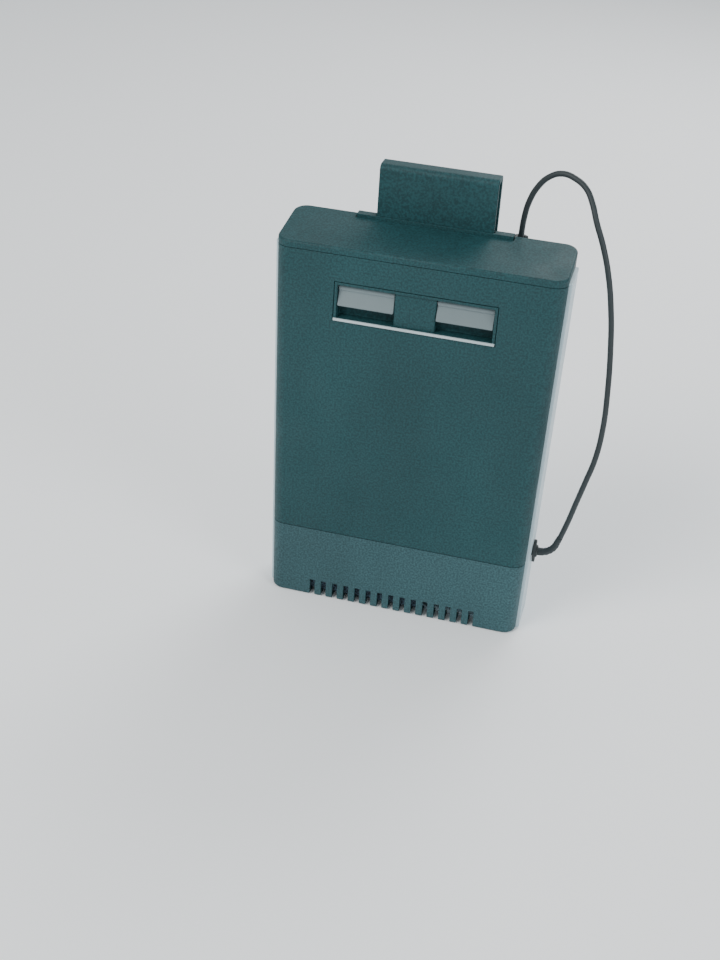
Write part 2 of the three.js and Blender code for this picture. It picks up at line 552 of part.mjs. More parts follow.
// ---------------------------------------------------------------- gland and cord
const WALL_X = halfWidthAt(GLAND_Z);
const PLATE_X = WALL_X + RAIL_PROUD + 0.4;
const RELIEF_X = PLATE_X + GLAND_PLATE_THICKNESS + GAP;

function cableGland() {
  const nut = bar('X', GLAND_RADIUS + 1.6, WALL_X - WALL - 0.4 - 2.2, WALL_X - WALL - 0.4, [GLAND_Y, GLAND_Z]);
  const barrel = bar('X', GLAND_RADIUS, WALL_X - WALL - 0.6, PLATE_X + 1, [GLAND_Y, GLAND_Z]);
  return nut.add(barrel).subtract(bar('X', CORD_RADIUS + GAP, 50, TOP_WIDTH, [GLAND_Y, GLAND_Z]));
}

function glandPlate() {
  const w = GLAND_PLATE_WIDTH / 2;
  const h = GLAND_PLATE_HEIGHT / 2;
  const shape = new THREE.Shape();
  shape.absarc(GLAND_Y, GLAND_Z + h - w / 2, w / 2, 0, Math.PI, false);
  shape.lineTo(GLAND_Y - w, GLAND_Z).absarc(GLAND_Y, GLAND_Z - h + w / 2, w / 2, Math.PI, 2 * Math.PI, false);
  shape.lineTo(GLAND_Y + w, GLAND_Z);
  const body = solid(prism(shape, 'X', PLATE_X, PLATE_X + GLAND_PLATE_THICKNESS, 8));
  return body.subtract(bar('X', GLAND_RADIUS - 0.9, 50, PLATE_X + 5, [GLAND_Y, GLAND_Z]))
    .subtract(bar('X', GLAND_RADIUS + GAP, 50, PLATE_X + 1 + GAP, [GLAND_Y, GLAND_Z]));
}

// The sleeve bends from straight out of the wall to a steep climb.
const RELIEF_SWEEP = 0.4 * Math.PI;
const reliefPoint = (turn) => [RELIEF_X + RELIEF_LEAD + RELIEF_BEND * Math.sin(turn), GLAND_Y,
  GLAND_Z + RELIEF_BEND * (1 - Math.cos(turn))];
const reliefPath = [[RELIEF_X, GLAND_Y, GLAND_Z],
  ...[0, 0.25, 0.5, 0.75, 1].map((t) => reliefPoint(t * RELIEF_SWEEP))];
const reliefEnd = reliefPath[reliefPath.length - 1];
reliefPath.push([reliefEnd[0] + RELIEF_TIP * Math.cos(RELIEF_SWEEP), GLAND_Y,
  reliefEnd[2] + RELIEF_TIP * Math.sin(RELIEF_SWEEP)]);

// From the sleeve up in a wide arc, over the rim, through the clip, down and into the coil.
const CORD_ROUTE = [
  [85.5, 1.5, 54.9], [86.7, 1.3, 59.4], [88.4, 1.0, 66.3], [90.8, 0.8, 77.4], [94.1, 0.4, 92.3],
  [97.0, 0.2, 106.0], [98.5, 0.0, 124.7], [97.8, 0.3, 146.8], [95.9, 1.2, 168.7], [93.2, 2.8, 187.8],
  [89.0, 5.4, 205.8], [84.2, 8.6, 218.8], [79.2, 12.0, 229.0], [75.6, 16.0, 236.6],
  [71.6, 19.4, 242.0], [65.6, 22.4, 245.2], [58.6, 24.8, 246.0], [52.4, 26.3, 243.0],
  [47.4, 27.2, 237.0], [44.0, 27.5, 229.0], [42.4, 27.6, 220.0], [42.0, 27.6, 212.0],
  [42.0, 27.6, 190.0], [42.0, 27.6, 160.0], [42.0, 27.6, 130.0], [42.0, 27.6, 100.0],
  [42.0, 27.6, 70.0], [42.0, 27.6, 44.0], [41.6, 27.6, 27.0], [39.2, 27.6, 16.4],
  [34.2, 27.6, 7.9], [28.4, 27.6, 3.4], [23.5, 27.6, 1.9], [19.0, 27.6, 1.65],
];
const TAIL_ROUTE = [
  [-7.0, 27.8, 4.9], [-10.5, 28.2, 5.6], [-14.0, 29.3, 6.4], [-17.3, 30.9, 6.8], [-20.6, 32.8, 6.8],
];

function cordCoil() {
  const inner = COIL_TURNS[0] - CORD_RADIUS - GAP;
  const outer = COIL_TURNS[1] + CORD_RADIUS + GAP;
  const height = 2 * CORD_RADIUS * COIL_LAYERS + GAP;
  const profile = [[inner, COIL_LIFT], [outer, COIL_LIFT], [outer, height], [inner, height],
    [inner, COIL_LIFT]];
  const ring = new THREE.LatheGeometry(profile.map((p) => new THREE.Vector2(...p)), 40);
  ring.rotateX(Math.PI / 2).translate(COIL_X, COIL_Y, 0);
  const half = TIE_WIDTH / 2 + GAP;
  return solid(ring).subtract(block([COIL_X - half, COIL_X + half], [COIL_Y, COIL_Y + 60],
    [-1, TIE_THICKNESS + 2 * GAP]));
}

function coilTie() {
  const x = [COIL_X - TIE_WIDTH / 2, COIL_X + TIE_WIDTH / 2];
  const inner = COIL_Y + COIL_TURNS[0] - CORD_RADIUS - 2.6 * GAP;
  const outer = COIL_Y + COIL_TURNS[1] + CORD_RADIUS + 2 * GAP;
  const low = COIL_LIFT + TIE_THICKNESS;
  const high = 2 * CORD_RADIUS * COIL_LAYERS + 2 * GAP;
  const t = TIE_THICKNESS;
  return block(x, [inner - t, outer + t], [low - t, high + t])
    .subtract(block([x[0] - 1, x[1] + 1], [inner, outer], [low, high]));
}

function plugBody() {
  const half = PLUG.width / 2;
  const end = -PLUG.length;
  const shape = new THREE.Shape([[0, -3.5], [-12, -half], [end + 3, -half], [end, -half + 3],
    [end, half - 3], [end + 3, half], [-12, half], [0, 3.5]].map(([x, y]) => new THREE.Vector2(x, y)));
  return solid(prism(shape, 'Z', 0.05, PLUG.height));
}

// ---------------------------------------------------------------- the object
piece('rear_housing', rearHousing(), paleShell);
piece('front_cover', frontCover(), darkShell);
piece('intake_base', intakeBase(), darkShell);
piece('lid', lid(), darkShell);
piece('hanger_socket', hangerSocket(), darkShell);
piece('hanger', hanger(), darkShell);
const PAD_FACE = REAR + GLASS + GLASS_PLAY;
piece('hanger_pad', block([-HANGER_WIDTH / 2 + 4, HANGER_WIDTH / 2 - 4],
  [PAD_FACE, PAD_FACE + HANGER_PAD], [RIM - HANGER_LEG + 3, RIM - 8]), rubber);
piece('cord_clip', cordClip(), blackPlastic);

piece('outlet_tray', outletTray(), darkShell);
for (const [side, name] of [[-1, 'left'], [1, 'right']]) {
  const flap = piece(`outlet_flap_${name}`, outletFlap(side), paleGrey);
  flap.position.set(0, PIN_Y, PIN_Z);
  flap.rotation.x = -FLAP_TILT;
}
const PIN_END = OUTLET_WIDTH / 2 - GAP;
piece('flap_pin', bar('X', FLAP_PIN_RADIUS, -PIN_END, PIN_END, [PIN_Y, PIN_Z], 20), steel);

piece('media_basket', mediaBasket(), blackPlastic);
const FINE_TOP = BASKET_TOP - MEDIA_DROP;
const BAG_TOP = FINE_TOP - FINE_HEIGHT - LAYER_GAP;
const COARSE_TOP = BAG_TOP - BAG_HEIGHT - LAYER_GAP;
piece('coarse_sponge', basketPad(SHELF_TOP + 2.4, COARSE_TOP), coarseFoam);
piece('media_bag', basketPad(BAG_TOP - BAG_HEIGHT, BAG_TOP), fineFoam);
piece('fine_sponge', basketPad(FINE_TOP - FINE_HEIGHT, FINE_TOP), fineFoam);
piece('prefilter_sponge', block([BASKET_LEFT + 3, DIVIDER_X - SLIDE_GAP],
  [FRONT + WALL + SLIDE_GAP, REAR - WALL - SLIDE_GAP], [WALL + GAP, BASE_SEAM + 1]), coarseFoam);

piece('pump_cover', pumpCover(), blackPlastic);
piece('pump_body', pumpBody(), blackPlastic);
piece('motor_cap', block([MOTOR_RIGHT + GAP, PUMP_RIGHT], [-PUMP_HALF_DEPTH, PUMP_HALF_DEPTH],
  [PUMP_FLOOR, MOTOR_TOP + PUMP_CROWN])
  .subtract(bar('X', CORD_RADIUS + GAP, 50, TOP_WIDTH, [GLAND_Y, GLAND_Z])), blackPlastic);
piece('stator_core', statorCore(), steel);
piece('stator_coil', statorCoil(), copper);
piece('impeller', impeller(), paleGrey);
piece('rotor_magnet', sleeve('X', ROTOR_RADIUS, SHAFT_RADIUS + 0.1, MOTOR_LEFT + 1 + GAP,
  MOTOR_LEFT + 1 + ROTOR_LENGTH, AXIS), magnetGrey);
const SHAFT_END = MOTOR_LEFT + ROTOR_LENGTH + 4.4;
piece('impeller_shaft', bar('X', SHAFT_RADIUS, PUMP_LEFT + 0.2, SHAFT_END, AXIS, 20), ceramicWhite);
piece('shaft_bush_front', sleeve('X', SHAFT_RADIUS + 1, SHAFT_RADIUS + GAP,
  PUMP_LEFT + 0.1, PUMP_LEFT + 1.6, AXIS), rubber);
piece('shaft_bush_rear', sleeve('X', SHAFT_RADIUS + 1, SHAFT_RADIUS + GAP,
  SHAFT_END - 1.2, SHAFT_END + 0.3, AXIS), rubber);
piece('riser_seal', sleeve('Z', RISER_RADIUS + 1.3, RISER_RADIUS + 0.1 + GAP / 2,
  MOTOR_TOP + 11 + GAP, MOTOR_TOP + 13, [RISER_X, 0]), rubber);
const risePoints = [[RISER_X, 0, MOTOR_TOP + 5.4]];
const STRAIGHT = [MOTOR_TOP + 20, RISER_Z - RISER_BEND];
for (let i = 0; i <= 9; i++) {
  risePoints.push([RISER_X, 0, STRAIGHT[0] + i * (STRAIGHT[1] - STRAIGHT[0]) / 9]);
}
for (let i = 1; i <= 6; i++) {
  const turn = i * Math.PI / 12;
  risePoints.push([RISER_X, -RISER_BEND * (1 - Math.cos(turn)),
    RISER_Z - RISER_BEND + RISER_BEND * Math.sin(turn)]);
}
risePoints.push([RISER_X, OUTLET_REAR - 1.1, RISER_Z]);
piece('riser_pipe', tube(risePoints, RISER_RADIUS, RISER_BORE, 24, 12), paleGrey);

piece('cable_gland', cableGland(), blackPlastic);
piece('gland_plate', glandPlate(), blackPlastic);
const LEAD_END = RELIEF_X - 2 * GAP - 1;
piece('pump_lead', bar('X', CORD_RADIUS, MOTOR_RIGHT + 0.2, LEAD_END, [GLAND_Y, GLAND_Z], 12), rubber);
piece('strain_relief', tube(reliefPath, RELIEF_RADIUS, 0, 10, 12), rubber);
piece('cord_run', tube(CORD_ROUTE, CORD_RADIUS, 0, 66), rubber);
piece('cord_coil', cordCoil(), rubber);
piece('coil_tie', coilTie(), blackPlastic);
piece('cord_tail', tube(TAIL_ROUTE, CORD_RADIUS, 0, 8), rubber);
function layAtPlug(mesh) {
  mesh.position.set(...PLUG.at, 0);
  mesh.rotation.z = PLUG.turn;
}
layAtPlug(piece('plug_body', plugBody(), blackPlastic));
for (const [side, name] of [[-1, 'near'], [1, 'far']]) {
  const end = -PLUG.length - GAP;
  layAtPlug(piece(`plug_pin_${name}`, bar('X', PLUG_PIN.radius, end - PLUG_PIN.length, end,
    [side * PLUG_PIN.spacing / 2, PLUG.height / 2], 16), steel));
}

for (const [level, z] of POST_HEIGHTS.entries()) {
  for (const [side, name] of [[-1, 'left'], [1, 'right']]) {
    const centre = [z, side * postX(z)];
    const screw = bar('Y', SCREW_RADIUS, SPLIT - SCREW_GRIP, SCREW_SEAT + GAP + 0.1, centre, 16)
      .add(bar('Y', SCREW_HEAD_RADIUS, SCREW_SEAT + GAP, SCREW_SEAT + GAP + SCREW_HEAD, centre));
    piece(`case_screw_${level ? 'upper' : 'lower'}_${name}`, screw, steel);
  }
}
for (const [side, name] of [[-1, 'left'], [1, 'right']]) {
  const centre = [SOCKET_SCREW_Z, side * SOCKET_SCREW_X];
  const head = REAR - SCREW_HEAD - GAP;
  piece(`socket_screw_${name}`, bar('Y', SCREW_RADIUS, SOCKET_BACKING + 0.2, head + 0.1, centre, 16)
    .add(bar('Y', SCREW_HEAD_RADIUS, head, REAR - GAP, centre)), steel);
  piece(`rear_bumper_${name}`, bar('Y', BUMPER_RADIUS, REAR - BUMPER_SEAT, REAR + BUMPER_PROUD,
    [BUMPER_Z, side * BUMPER_X]), rubber);
}

export default object;
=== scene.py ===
"""Hang-on box filter for a nano aquarium: the looks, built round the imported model."""
import json
import math

import bmesh
import bpy
from mathutils import Matrix, Vector, noise

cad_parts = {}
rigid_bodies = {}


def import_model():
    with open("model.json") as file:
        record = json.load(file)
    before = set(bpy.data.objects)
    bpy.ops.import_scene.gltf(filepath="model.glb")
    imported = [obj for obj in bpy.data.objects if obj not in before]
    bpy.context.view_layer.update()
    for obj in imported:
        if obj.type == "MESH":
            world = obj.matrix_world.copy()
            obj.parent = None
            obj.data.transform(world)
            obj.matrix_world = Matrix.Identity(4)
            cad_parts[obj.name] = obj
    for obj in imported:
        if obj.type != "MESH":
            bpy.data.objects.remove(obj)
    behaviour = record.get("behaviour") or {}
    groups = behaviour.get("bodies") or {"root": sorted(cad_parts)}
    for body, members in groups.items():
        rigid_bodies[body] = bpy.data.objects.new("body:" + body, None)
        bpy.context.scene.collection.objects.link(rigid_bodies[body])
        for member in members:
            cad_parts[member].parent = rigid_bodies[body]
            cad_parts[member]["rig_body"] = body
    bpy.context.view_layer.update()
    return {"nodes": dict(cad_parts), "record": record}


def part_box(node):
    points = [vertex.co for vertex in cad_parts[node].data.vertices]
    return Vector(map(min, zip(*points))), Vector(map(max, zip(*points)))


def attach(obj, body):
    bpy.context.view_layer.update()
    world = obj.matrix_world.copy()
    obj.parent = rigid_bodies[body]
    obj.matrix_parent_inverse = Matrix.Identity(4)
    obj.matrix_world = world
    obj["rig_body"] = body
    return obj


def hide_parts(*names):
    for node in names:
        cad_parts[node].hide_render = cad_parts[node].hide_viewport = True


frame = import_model()

MM = 0.001
SLOT_OF = {part["node"]: part["material_slot"] for part in frame["record"]["subparts"]}


# ------------------------------------------------------------------ camera, floor and lights
CAMERA_PLACE = Vector((125.1, -659.9, 481.5)) * MM
CAMERA_AZIMUTH = math.radians(12.9)
CAMERA_ELEVATION = math.radians(31.4)
CAMERA_ROLL = math.radians(3.78)
CAMERA_LENS = 54.6


def make_camera():
    data = bpy.data.cameras.new("camera")
    data.lens = CAMERA_LENS
    camera = bpy.data.objects.new("camera", data)
    bpy.context.scene.collection.objects.link(camera)
    turn = (Matrix.Rotation(CAMERA_AZIMUTH, 4, "Z")
            @ Matrix.Rotation(math.pi / 2 - CAMERA_ELEVATION, 4, "X")
            @ Matrix.Rotation(CAMERA_ROLL, 4, "Z"))
    camera.matrix_world = Matrix.Translation(CAMERA_PLACE) @ turn
    bpy.context.scene.camera = camera


def make_light(name, place, target, size, power, color=(1.0, 1.0, 1.0)):
    data = bpy.data.lights.new(name, "AREA")
    data.shape = "DISK"
    data.size = size
    data.energy = power
    data.color = color
    light = bpy.data.objects.new(name, data)
    bpy.context.scene.collection.objects.link(light)
    light.location = place
    light.rotation_euler = (Vector(target) - Vector(place)).to_track_quat("-Z", "Y").to_euler()


def make_stage():
    bpy.ops.mesh.primitive_plane_add(size=12.0, location=(0.0, 0.0, -0.0002))
    floor = bpy.context.object
    floor.name = "floor"
    floor.data.materials.append(flat_finish("floor_paper", (0.95, 0.96, 0.97), 0.7))
    middle = (0.0, 0.0, 0.11)
    make_light("key_light", (-0.75, -1.0, 1.25), middle, 0.9, 17.0, (1.0, 0.985, 0.96))
    make_light("fill_light", (1.15, -0.7, 0.75), middle, 0.8, 8.0, (0.93, 0.97, 1.0))
    make_light("rear_light", (0.3, 1.1, 1.0), middle, 0.8, 10.0)
    world = bpy.data.worlds.new("studio")
    world.use_nodes = True
    background = world.node_tree.nodes["Background"]
    background.inputs["Color"].default_value = (0.88, 0.93, 0.96, 1.0)
    background.inputs["Strength"].default_value = 0.75
    bpy.context.scene.world = world


# ------------------------------------------------------------------ materials
def new_material(name):
    material = bpy.data.materials.new(name)
    material.use_nodes = True
    tree = material.node_tree
    return material, tree, tree.nodes["Principled BSDF"]


def link(tree, from_node, from_socket, to_node, to_socket):
    tree.links.new(from_node.outputs[from_socket], to_node.inputs[to_socket])


def flat_finish(name, color, roughness):
    material, _, shader = new_material(name)
    shader.inputs["Base Color"].default_value = (*color, 1.0)
    shader.inputs["Roughness"].default_value = roughness
    return material


def object_noise(tree, scale, detail=2.0, stretch=(1.0, 1.0, 1.0)):
    coordinates = tree.nodes.new("ShaderNodeTexCoord")
    mapping = tree.nodes.new("ShaderNodeMapping")
    mapping.inputs["Scale"].default_value = stretch
    noise = tree.nodes.new("ShaderNodeTexNoise")
    noise.inputs["Scale"].default_value = scale
    noise.inputs["Detail"].default_value = detail
    link(tree, coordinates, "Object", mapping, "Vector")
    link(tree, mapping, "Vector", noise, "Vector")
    return noise


def spread(tree, source, low, high, from_low=0.3, from_high=0.7):
    """A texture's value spread between two numbers."""
    node = tree.nodes.new("ShaderNodeMapRange")
    node.inputs["From Min"].default_value = from_low
    node.inputs["From Max"].default_value = from_high
    node.inputs["To Min"].default_value = low
    node.inputs["To Max"].default_value = high
    tree.links.new(source, node.inputs["Value"])
    return node.outputs["Result"]


def two_tones(tree, factor, first, second):
    ramp = tree.nodes.new("ShaderNodeValToRGB")
    ramp.color_ramp.elements[0].position = 0.3
    ramp.color_ramp.elements[0].color = (*first, 1.0)
    ramp.color_ramp.elements[1].position = 0.7
    ramp.color_ramp.elements[1].color = (*second, 1.0)
    tree.links.new(factor, ramp.inputs["Fac"])
    return ramp.outputs["Color"]


def add_bump(tree, shader, height, distance, strength=1.0):
    bump = tree.nodes.new("ShaderNodeBump")
    bump.inputs["Strength"].default_value = strength
    bump.inputs["Distance"].default_value = distance
    tree.links.new(height, bump.inputs["Height"])
    tree.links.new(bump.outputs["Normal"], shader.inputs["Normal"])


def tinted(color, factor):
    return tuple(min(1.0, channel * factor) for channel in color)


def mottled(tree, tone, amount):
    """Darker and lighter specks under a millimetre across."""
    specks = object_noise(tree, 1000.0, 1.0)
    scale = tree.nodes.new("ShaderNodeVectorMath")
    scale.operation = "SCALE"
    tree.links.new(tone, scale.inputs["Vector"])
    tree.links.new(spread(tree, specks.outputs["Fac"], 1 - amount, 1 + amount, 0.35, 0.65),
                   scale.inputs["Scale"])
    return scale.outputs["Vector"]


def moulded(name, color, roughness, grain=2600.0, depth=0.00003, cloud=0.12, mottle=0.0,
            shine=0.5):
    """Moulded plastic: spark-eroded grain, faint flow clouds and patches of handling gloss."""
    material, tree, shader = new_material(name)
    clouds = object_noise(tree, 22.0, 4.0, (1.0, 1.0, 0.45))
    tone = two_tones(tree, clouds.outputs["Fac"], tinted(color, 1 - cloud), tinted(color, 1 + cloud))
    if mottle:
        tone = mottled(tree, tone, mottle)
    tree.links.new(tone, shader.inputs["Base Color"])
    smears = object_noise(tree, 55.0, 5.0)
    gloss = spread(tree, smears.outputs["Fac"], roughness - 0.06, roughness + 0.08)
    tree.links.new(gloss, shader.inputs["Roughness"])
    shader.inputs["Specular IOR Level"].default_value = shine
    fine = object_noise(tree, grain, 3.0)
    add_bump(tree, shader, fine.outputs["Fac"], depth, 0.8)
    return material


def translucent(name, color, roughness, transmission):
    """Milky see-through plastic."""
    material = moulded(name, color, roughness, grain=900.0, depth=0.00002, cloud=0.04)
    shader = material.node_tree.nodes["Principled BSDF"]
    shader.inputs["Transmission Weight"].default_value = transmission
    shader.inputs["IOR"].default_value = 1.45
    return material


def brushed(name, color, roughness, stretch):
    """Metal with fine drawn lines."""
    material, tree, shader = new_material(name)
    shader.inputs["Metallic"].default_value = 1.0
    lines = object_noise(tree, 900.0, 4.0, stretch)
    tone = two_tones(tree, lines.outputs["Fac"], tinted(color, 0.9), tinted(color, 1.06))
    tree.links.new(tone, shader.inputs["Base Color"])
    gloss = spread(tree, lines.outputs["Fac"], roughness - 0.08, roughness + 0.1)
    tree.links.new(gloss, shader.inputs["Roughness"])
    add_bump(tree, shader, lines.outputs["Fac"], 0.00001, 0.5)
    return material


def open_foam(name, color, cell):
    """Open-cell foam: the pores coloured darker than the struts, as painted shade in the cells."""
    material, tree, shader = new_material(name)
    coordinates = tree.nodes.new("ShaderNodeTexCoord")
    pores = tree.nodes.new("ShaderNodeTexVoronoi")
    pores.inputs["Scale"].default_value = 1.0 / cell
    link(tree, coordinates, "Object", pores, "Vector")
    # painted shade: darker colour towards each cell's middle, where the pores are
    tone = two_tones(tree, pores.outputs["Distance"], tinted(color, 0.35), tinted(color, 1.25))
    tree.links.new(tone, shader.inputs["Base Color"])
    shader.inputs["Roughness"].default_value = 0.95
    add_bump(tree, shader, pores.outputs["Distance"], cell * 0.6)
    return material


def fibre(name, color):
    """Matted filter wool."""
    material, tree, shader = new_material(name)
    strands = object_noise(tree, 700.0, 8.0, (1.0, 0.35, 2.2))
    tone = two_tones(tree, strands.outputs["Fac"], tinted(color, 0.72), color)
    tree.links.new(tone, shader.inputs["Base Color"])
    shader.inputs["Roughness"].default_value = 0.97
    shader.inputs["Sheen Weight"].default_value = 0.3
    add_bump(tree, shader, strands.outputs["Fac"], 0.0006, 0.9)
    return material


def banded(name, color, direction, pitch, depth, roughness, metallic=0.0, turned=0.0):
    """Fine parallel ridges: wound wire, stacked sheets or knitted threads."""
    material, tree, shader = new_material(name)
    coordinates = tree.nodes.new("ShaderNodeTexCoord")
    mapping = tree.nodes.new("ShaderNodeMapping")
    mapping.inputs["Rotation"].default_value = (0.0, turned, 0.0)
    link(tree, coordinates, "Object", mapping, "Vector")
    ridges = tree.nodes.new("ShaderNodeTexWave")
    ridges.bands_direction = direction
    ridges.inputs["Scale"].default_value = math.pi / (10.0 * pitch)
    ridges.inputs["Distortion"].default_value = 0.3
    link(tree, mapping, "Vector", ridges, "Vector")
    tone = two_tones(tree, ridges.outputs["Fac"], tinted(color, 0.5), tinted(color, 1.15))
    tree.links.new(tone, shader.inputs["Base Color"])
    shader.inputs["Metallic"].default_value = metallic
    shader.inputs["Roughness"].default_value = roughness
    add_bump(tree, shader, ridges.outputs["Fac"], depth)
    return material


MATERIALS = {
    "dark_shell": moulded("slate_shell", (0.012, 0.050, 0.056), 0.55, mottle=0.25, shine=0.25),
    "pale_shell": translucent("milky_housing", (0.60, 0.76, 0.82), 0.34, 0.2),
    "pale_grey": moulded("light_grey_plastic", (0.14, 0.18, 0.19), 0.45),
    "black_plastic": moulded("black_plastic", (0.014, 0.020, 0.022), 0.48),
    "rubber": moulded("soft_rubber", (0.012, 0.020, 0.023), 0.5, grain=1500.0, depth=0.00004),
    "coarse_foam": open_foam("blue_black_foam", (0.035, 0.06, 0.085), 0.0012),
    "fine_foam": fibre("white_filter_wool", (0.72, 0.74, 0.71)),
    "ceramic": moulded("white_ceramic", (0.78, 0.76, 0.70), 0.25, depth=0.00001),
    "steel": brushed("stainless_steel", (0.60, 0.61, 0.62), 0.28, (1.0, 12.0, 1.0)),
    "copper": banded("enamelled_copper", (0.55, 0.20, 0.06), "Y", 0.0005, 0.0002, 0.35, 0.85),
    "magnet": moulded("ground_ferrite", (0.035, 0.035, 0.037), 0.45),
}
BASE_SHELL = moulded("slate_base", (0.029, 0.075, 0.085), 0.55, mottle=0.25, shine=0.25)
# painted highlight: the tray's lip is coloured paler to stand in for light caught along its edge
LIP_PAINTED_HIGHLIGHT = moulded("lip_painted_highlight", (0.42, 0.50, 0.52), 0.4)
# painted shade: a greyer copy of the milky housing for the rails' outer side faces
RAIL_SIDE_PAINTED_SHADE = translucent("milky_side_painted_shade", (0.50, 0.62, 0.67), 0.4, 0.15)
LAMINATED = banded("stacked_core_sheets", (0.34, 0.35, 0.36), "X", 0.0005, 0.0001, 0.4, 0.9)
NET = banded("knitted_net", (0.55, 0.57, 0.55), "Z", 0.0016, 0.0005, 0.8, turned=math.radians(45))


# ------------------------------------------------------------------ shaping tools, in millimetres
def add_block(bm, low, high):
    low, high = Vector(low), Vector(high)
    made = bmesh.ops.create_cube(bm, size=1.0)["verts"]
    bmesh.ops.scale(bm, vec=high - low, verts=made)
    bmesh.ops.translate(bm, vec=(low + high) / 2, verts=made)
    return made


def add_bar(bm, radius, start, end, segments=48):
    start, end = Vector(start), Vector(end)
    along = end - start
    turn = Vector((0, 0, 1)).rotation_difference(along).to_matrix().to_4x4()
    return bmesh.ops.create_cone(
        bm, cap_ends=True, cap_tris=False, segments=segments, radius1=radius, radius2=radius,
        depth=along.length,
        matrix=Matrix.Translation((start + end) / 2) @ turn)["verts"]


def add_turned(bm, profile, origin, axis, steps=48):
    """Spins an outline of (radius, distance along the axis) pairs about an axis through origin."""
    before = set(bm.verts)
    line = [bm.verts.new((radius, 0.0, along)) for radius, along in profile]
    edges = [bm.edges.new(pair) for pair in zip(line, line[1:])]
    if profile[0][0] > 0 and profile[-1][0] > 0:
        edges.append(bm.edges.new((line[-1], line[0])))
    bmesh.ops.spin(bm, geom=line + edges, cent=(0, 0, 0), axis=(0, 0, 1), dvec=(0, 0, 0),
                   angle=2 * math.pi, steps=steps, use_merge=True, use_duplicate=False)
    made = [v for v in bm.verts if v not in before]
    bmesh.ops.remove_doubles(bm, verts=made, dist=1e-4)
    made = [v for v in bm.verts if v not in before]
    bmesh.ops.recalc_face_normals(bm, faces=list({f for v in made for f in v.link_faces}))
    turn = Vector((0, 0, 1)).rotation_difference(Vector(axis)).to_matrix().to_4x4()
    bmesh.ops.transform(bm, matrix=Matrix.Translation(Vector(origin)) @ turn, verts=made)
    return made


def add_loft(bm, stations, segments=24):
    """Joins circles of (centre, direction, radius) into a closed bent bar."""
    rings = []
    for centre, direction, radius in stations:
        turn = Vector((0, 0, 1)).rotation_difference(Vector(direction)).to_matrix().to_4x4()
        verts = bmesh.ops.create_circle(bm, cap_ends=False, segments=segments, radius=radius,
                                        matrix=Matrix.Translation(Vector(centre)) @ turn)["verts"]
        rings.append(list({e for v in verts for e in v.link_edges}))
    for near, far in zip(rings, rings[1:]):
        bmesh.ops.bridge_loops(bm, edges=near + far)
    for ring in (rings[0], rings[-1]):
        bmesh.ops.contextual_create(bm, geom=ring)
    bmesh.ops.recalc_face_normals(bm, faces=bm.faces[:])


def sharp(edges, angle=40):
    return [e for e in edges
            if len(e.link_faces) == 2 and e.calc_face_angle(0.0) > math.radians(angle)]


def edges_of(verts):
    return list({e for v in verts for e in v.link_edges})


def round_off(bm, edges, width, segments=3):
    if edges:
        bmesh.ops.bevel(bm, geom=edges, offset=width, offset_type="OFFSET", affect="EDGES",
                        segments=segments, profile=0.5, material=-1, clamp_overlap=True)


def cut_at(bm, point, normal, drop=False):
    """Cuts every face along a plane, and drops what is in front of it if asked."""
    bmesh.ops.bisect_plane(bm, geom=bm.verts[:] + bm.edges[:] + bm.faces[:], dist=1e-4,
                           plane_co=point, plane_no=normal, clear_outer=drop)


def drop_faces(bm, is_dropped):
    gone = [f for f in bm.faces if is_dropped(f.calc_center_median())]
    bmesh.ops.delete(bm, geom=gone, context="FACES")


def give_wall(bm, thickness):
    """Gives an open shell its thickness, inwards."""
    bmesh.ops.recalc_face_normals(bm, faces=bm.faces[:])
    bmesh.ops.solidify(bm, geom=bm.faces[:], thickness=thickness)


def make_piece(name, bm, node, bevel=0.0, segments=2, material=None):
    """Finishes a mesh built in millimetres as the piece that stands for a CAD node."""
    bmesh.ops.scale(bm, vec=(MM, MM, MM), verts=bm.verts[:])
    for face in bm.faces:
        face.smooth = True
    for edge in sharp(bm.edges, 35):
        edge.smooth = False
    mesh = bpy.data.meshes.new(name)
    bm.to_mesh(mesh)
    bm.free()
    obj = bpy.data.objects.new(name, mesh)
    bpy.context.scene.collection.objects.link(obj)
    obj.data.materials.append(material or MATERIALS[SLOT_OF[node]])
    if bevel:
        soft = obj.modifiers.new("soft_edges", "BEVEL")
        soft.width = bevel * MM
        soft.segments = segments
        soft.limit_method = "ANGLE"
        soft.angle_limit = math.radians(35)
    obj.modifiers.new("shading", "WEIGHTED_NORMAL").keep_sharp = True
    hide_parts(node)
    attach(obj, frame["nodes"][node]["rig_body"])
    return obj


def box_mm(node):
    low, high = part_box(node)
    return Vector(low) / MM, Vector(high) / MM


# ------------------------------------------------------------------ the cord
CORD_RADIUS = 1.5
CORD_ROUTE = [
    (85.5, 1.5, 54.9), (86.7, 1.3, 59.4), (88.4, 1.0, 66.3), (90.8, 0.8, 77.4), (94.1, 0.4, 92.3),
    (97.0, 0.2, 106.0), (98.5, 0.0, 124.7), (97.8, 0.3, 146.8), (95.9, 1.2, 168.7), (93.2, 2.8, 187.8),
    (89.0, 5.4, 205.8), (84.2, 8.6, 218.8), (79.2, 12.0, 229.0), (75.6, 16.0, 236.6),
    (71.6, 19.4, 242.0), (65.6, 22.4, 245.2), (58.6, 24.8, 246.0), (52.4, 26.3, 243.0),
    (47.4, 27.2, 237.0), (44.0, 27.5, 229.0), (42.4, 27.6, 220.0), (42.0, 27.6, 212.0),
    (42.0, 27.6, 190.0), (42.0, 27.6, 160.0), (42.0, 27.6, 130.0), (42.0, 27.6, 100.0),
    (42.0, 27.6, 70.0), (42.0, 27.6, 44.0), (41.6, 27.6, 27.0), (39.2, 27.6, 16.4),
    (34.2, 27.6, 7.9), (28.4, 27.6, 3.4), (23.5, 27.6, 1.9), (19.0, 27.6, 1.65), (12.5, 27.6, 1.6),
]
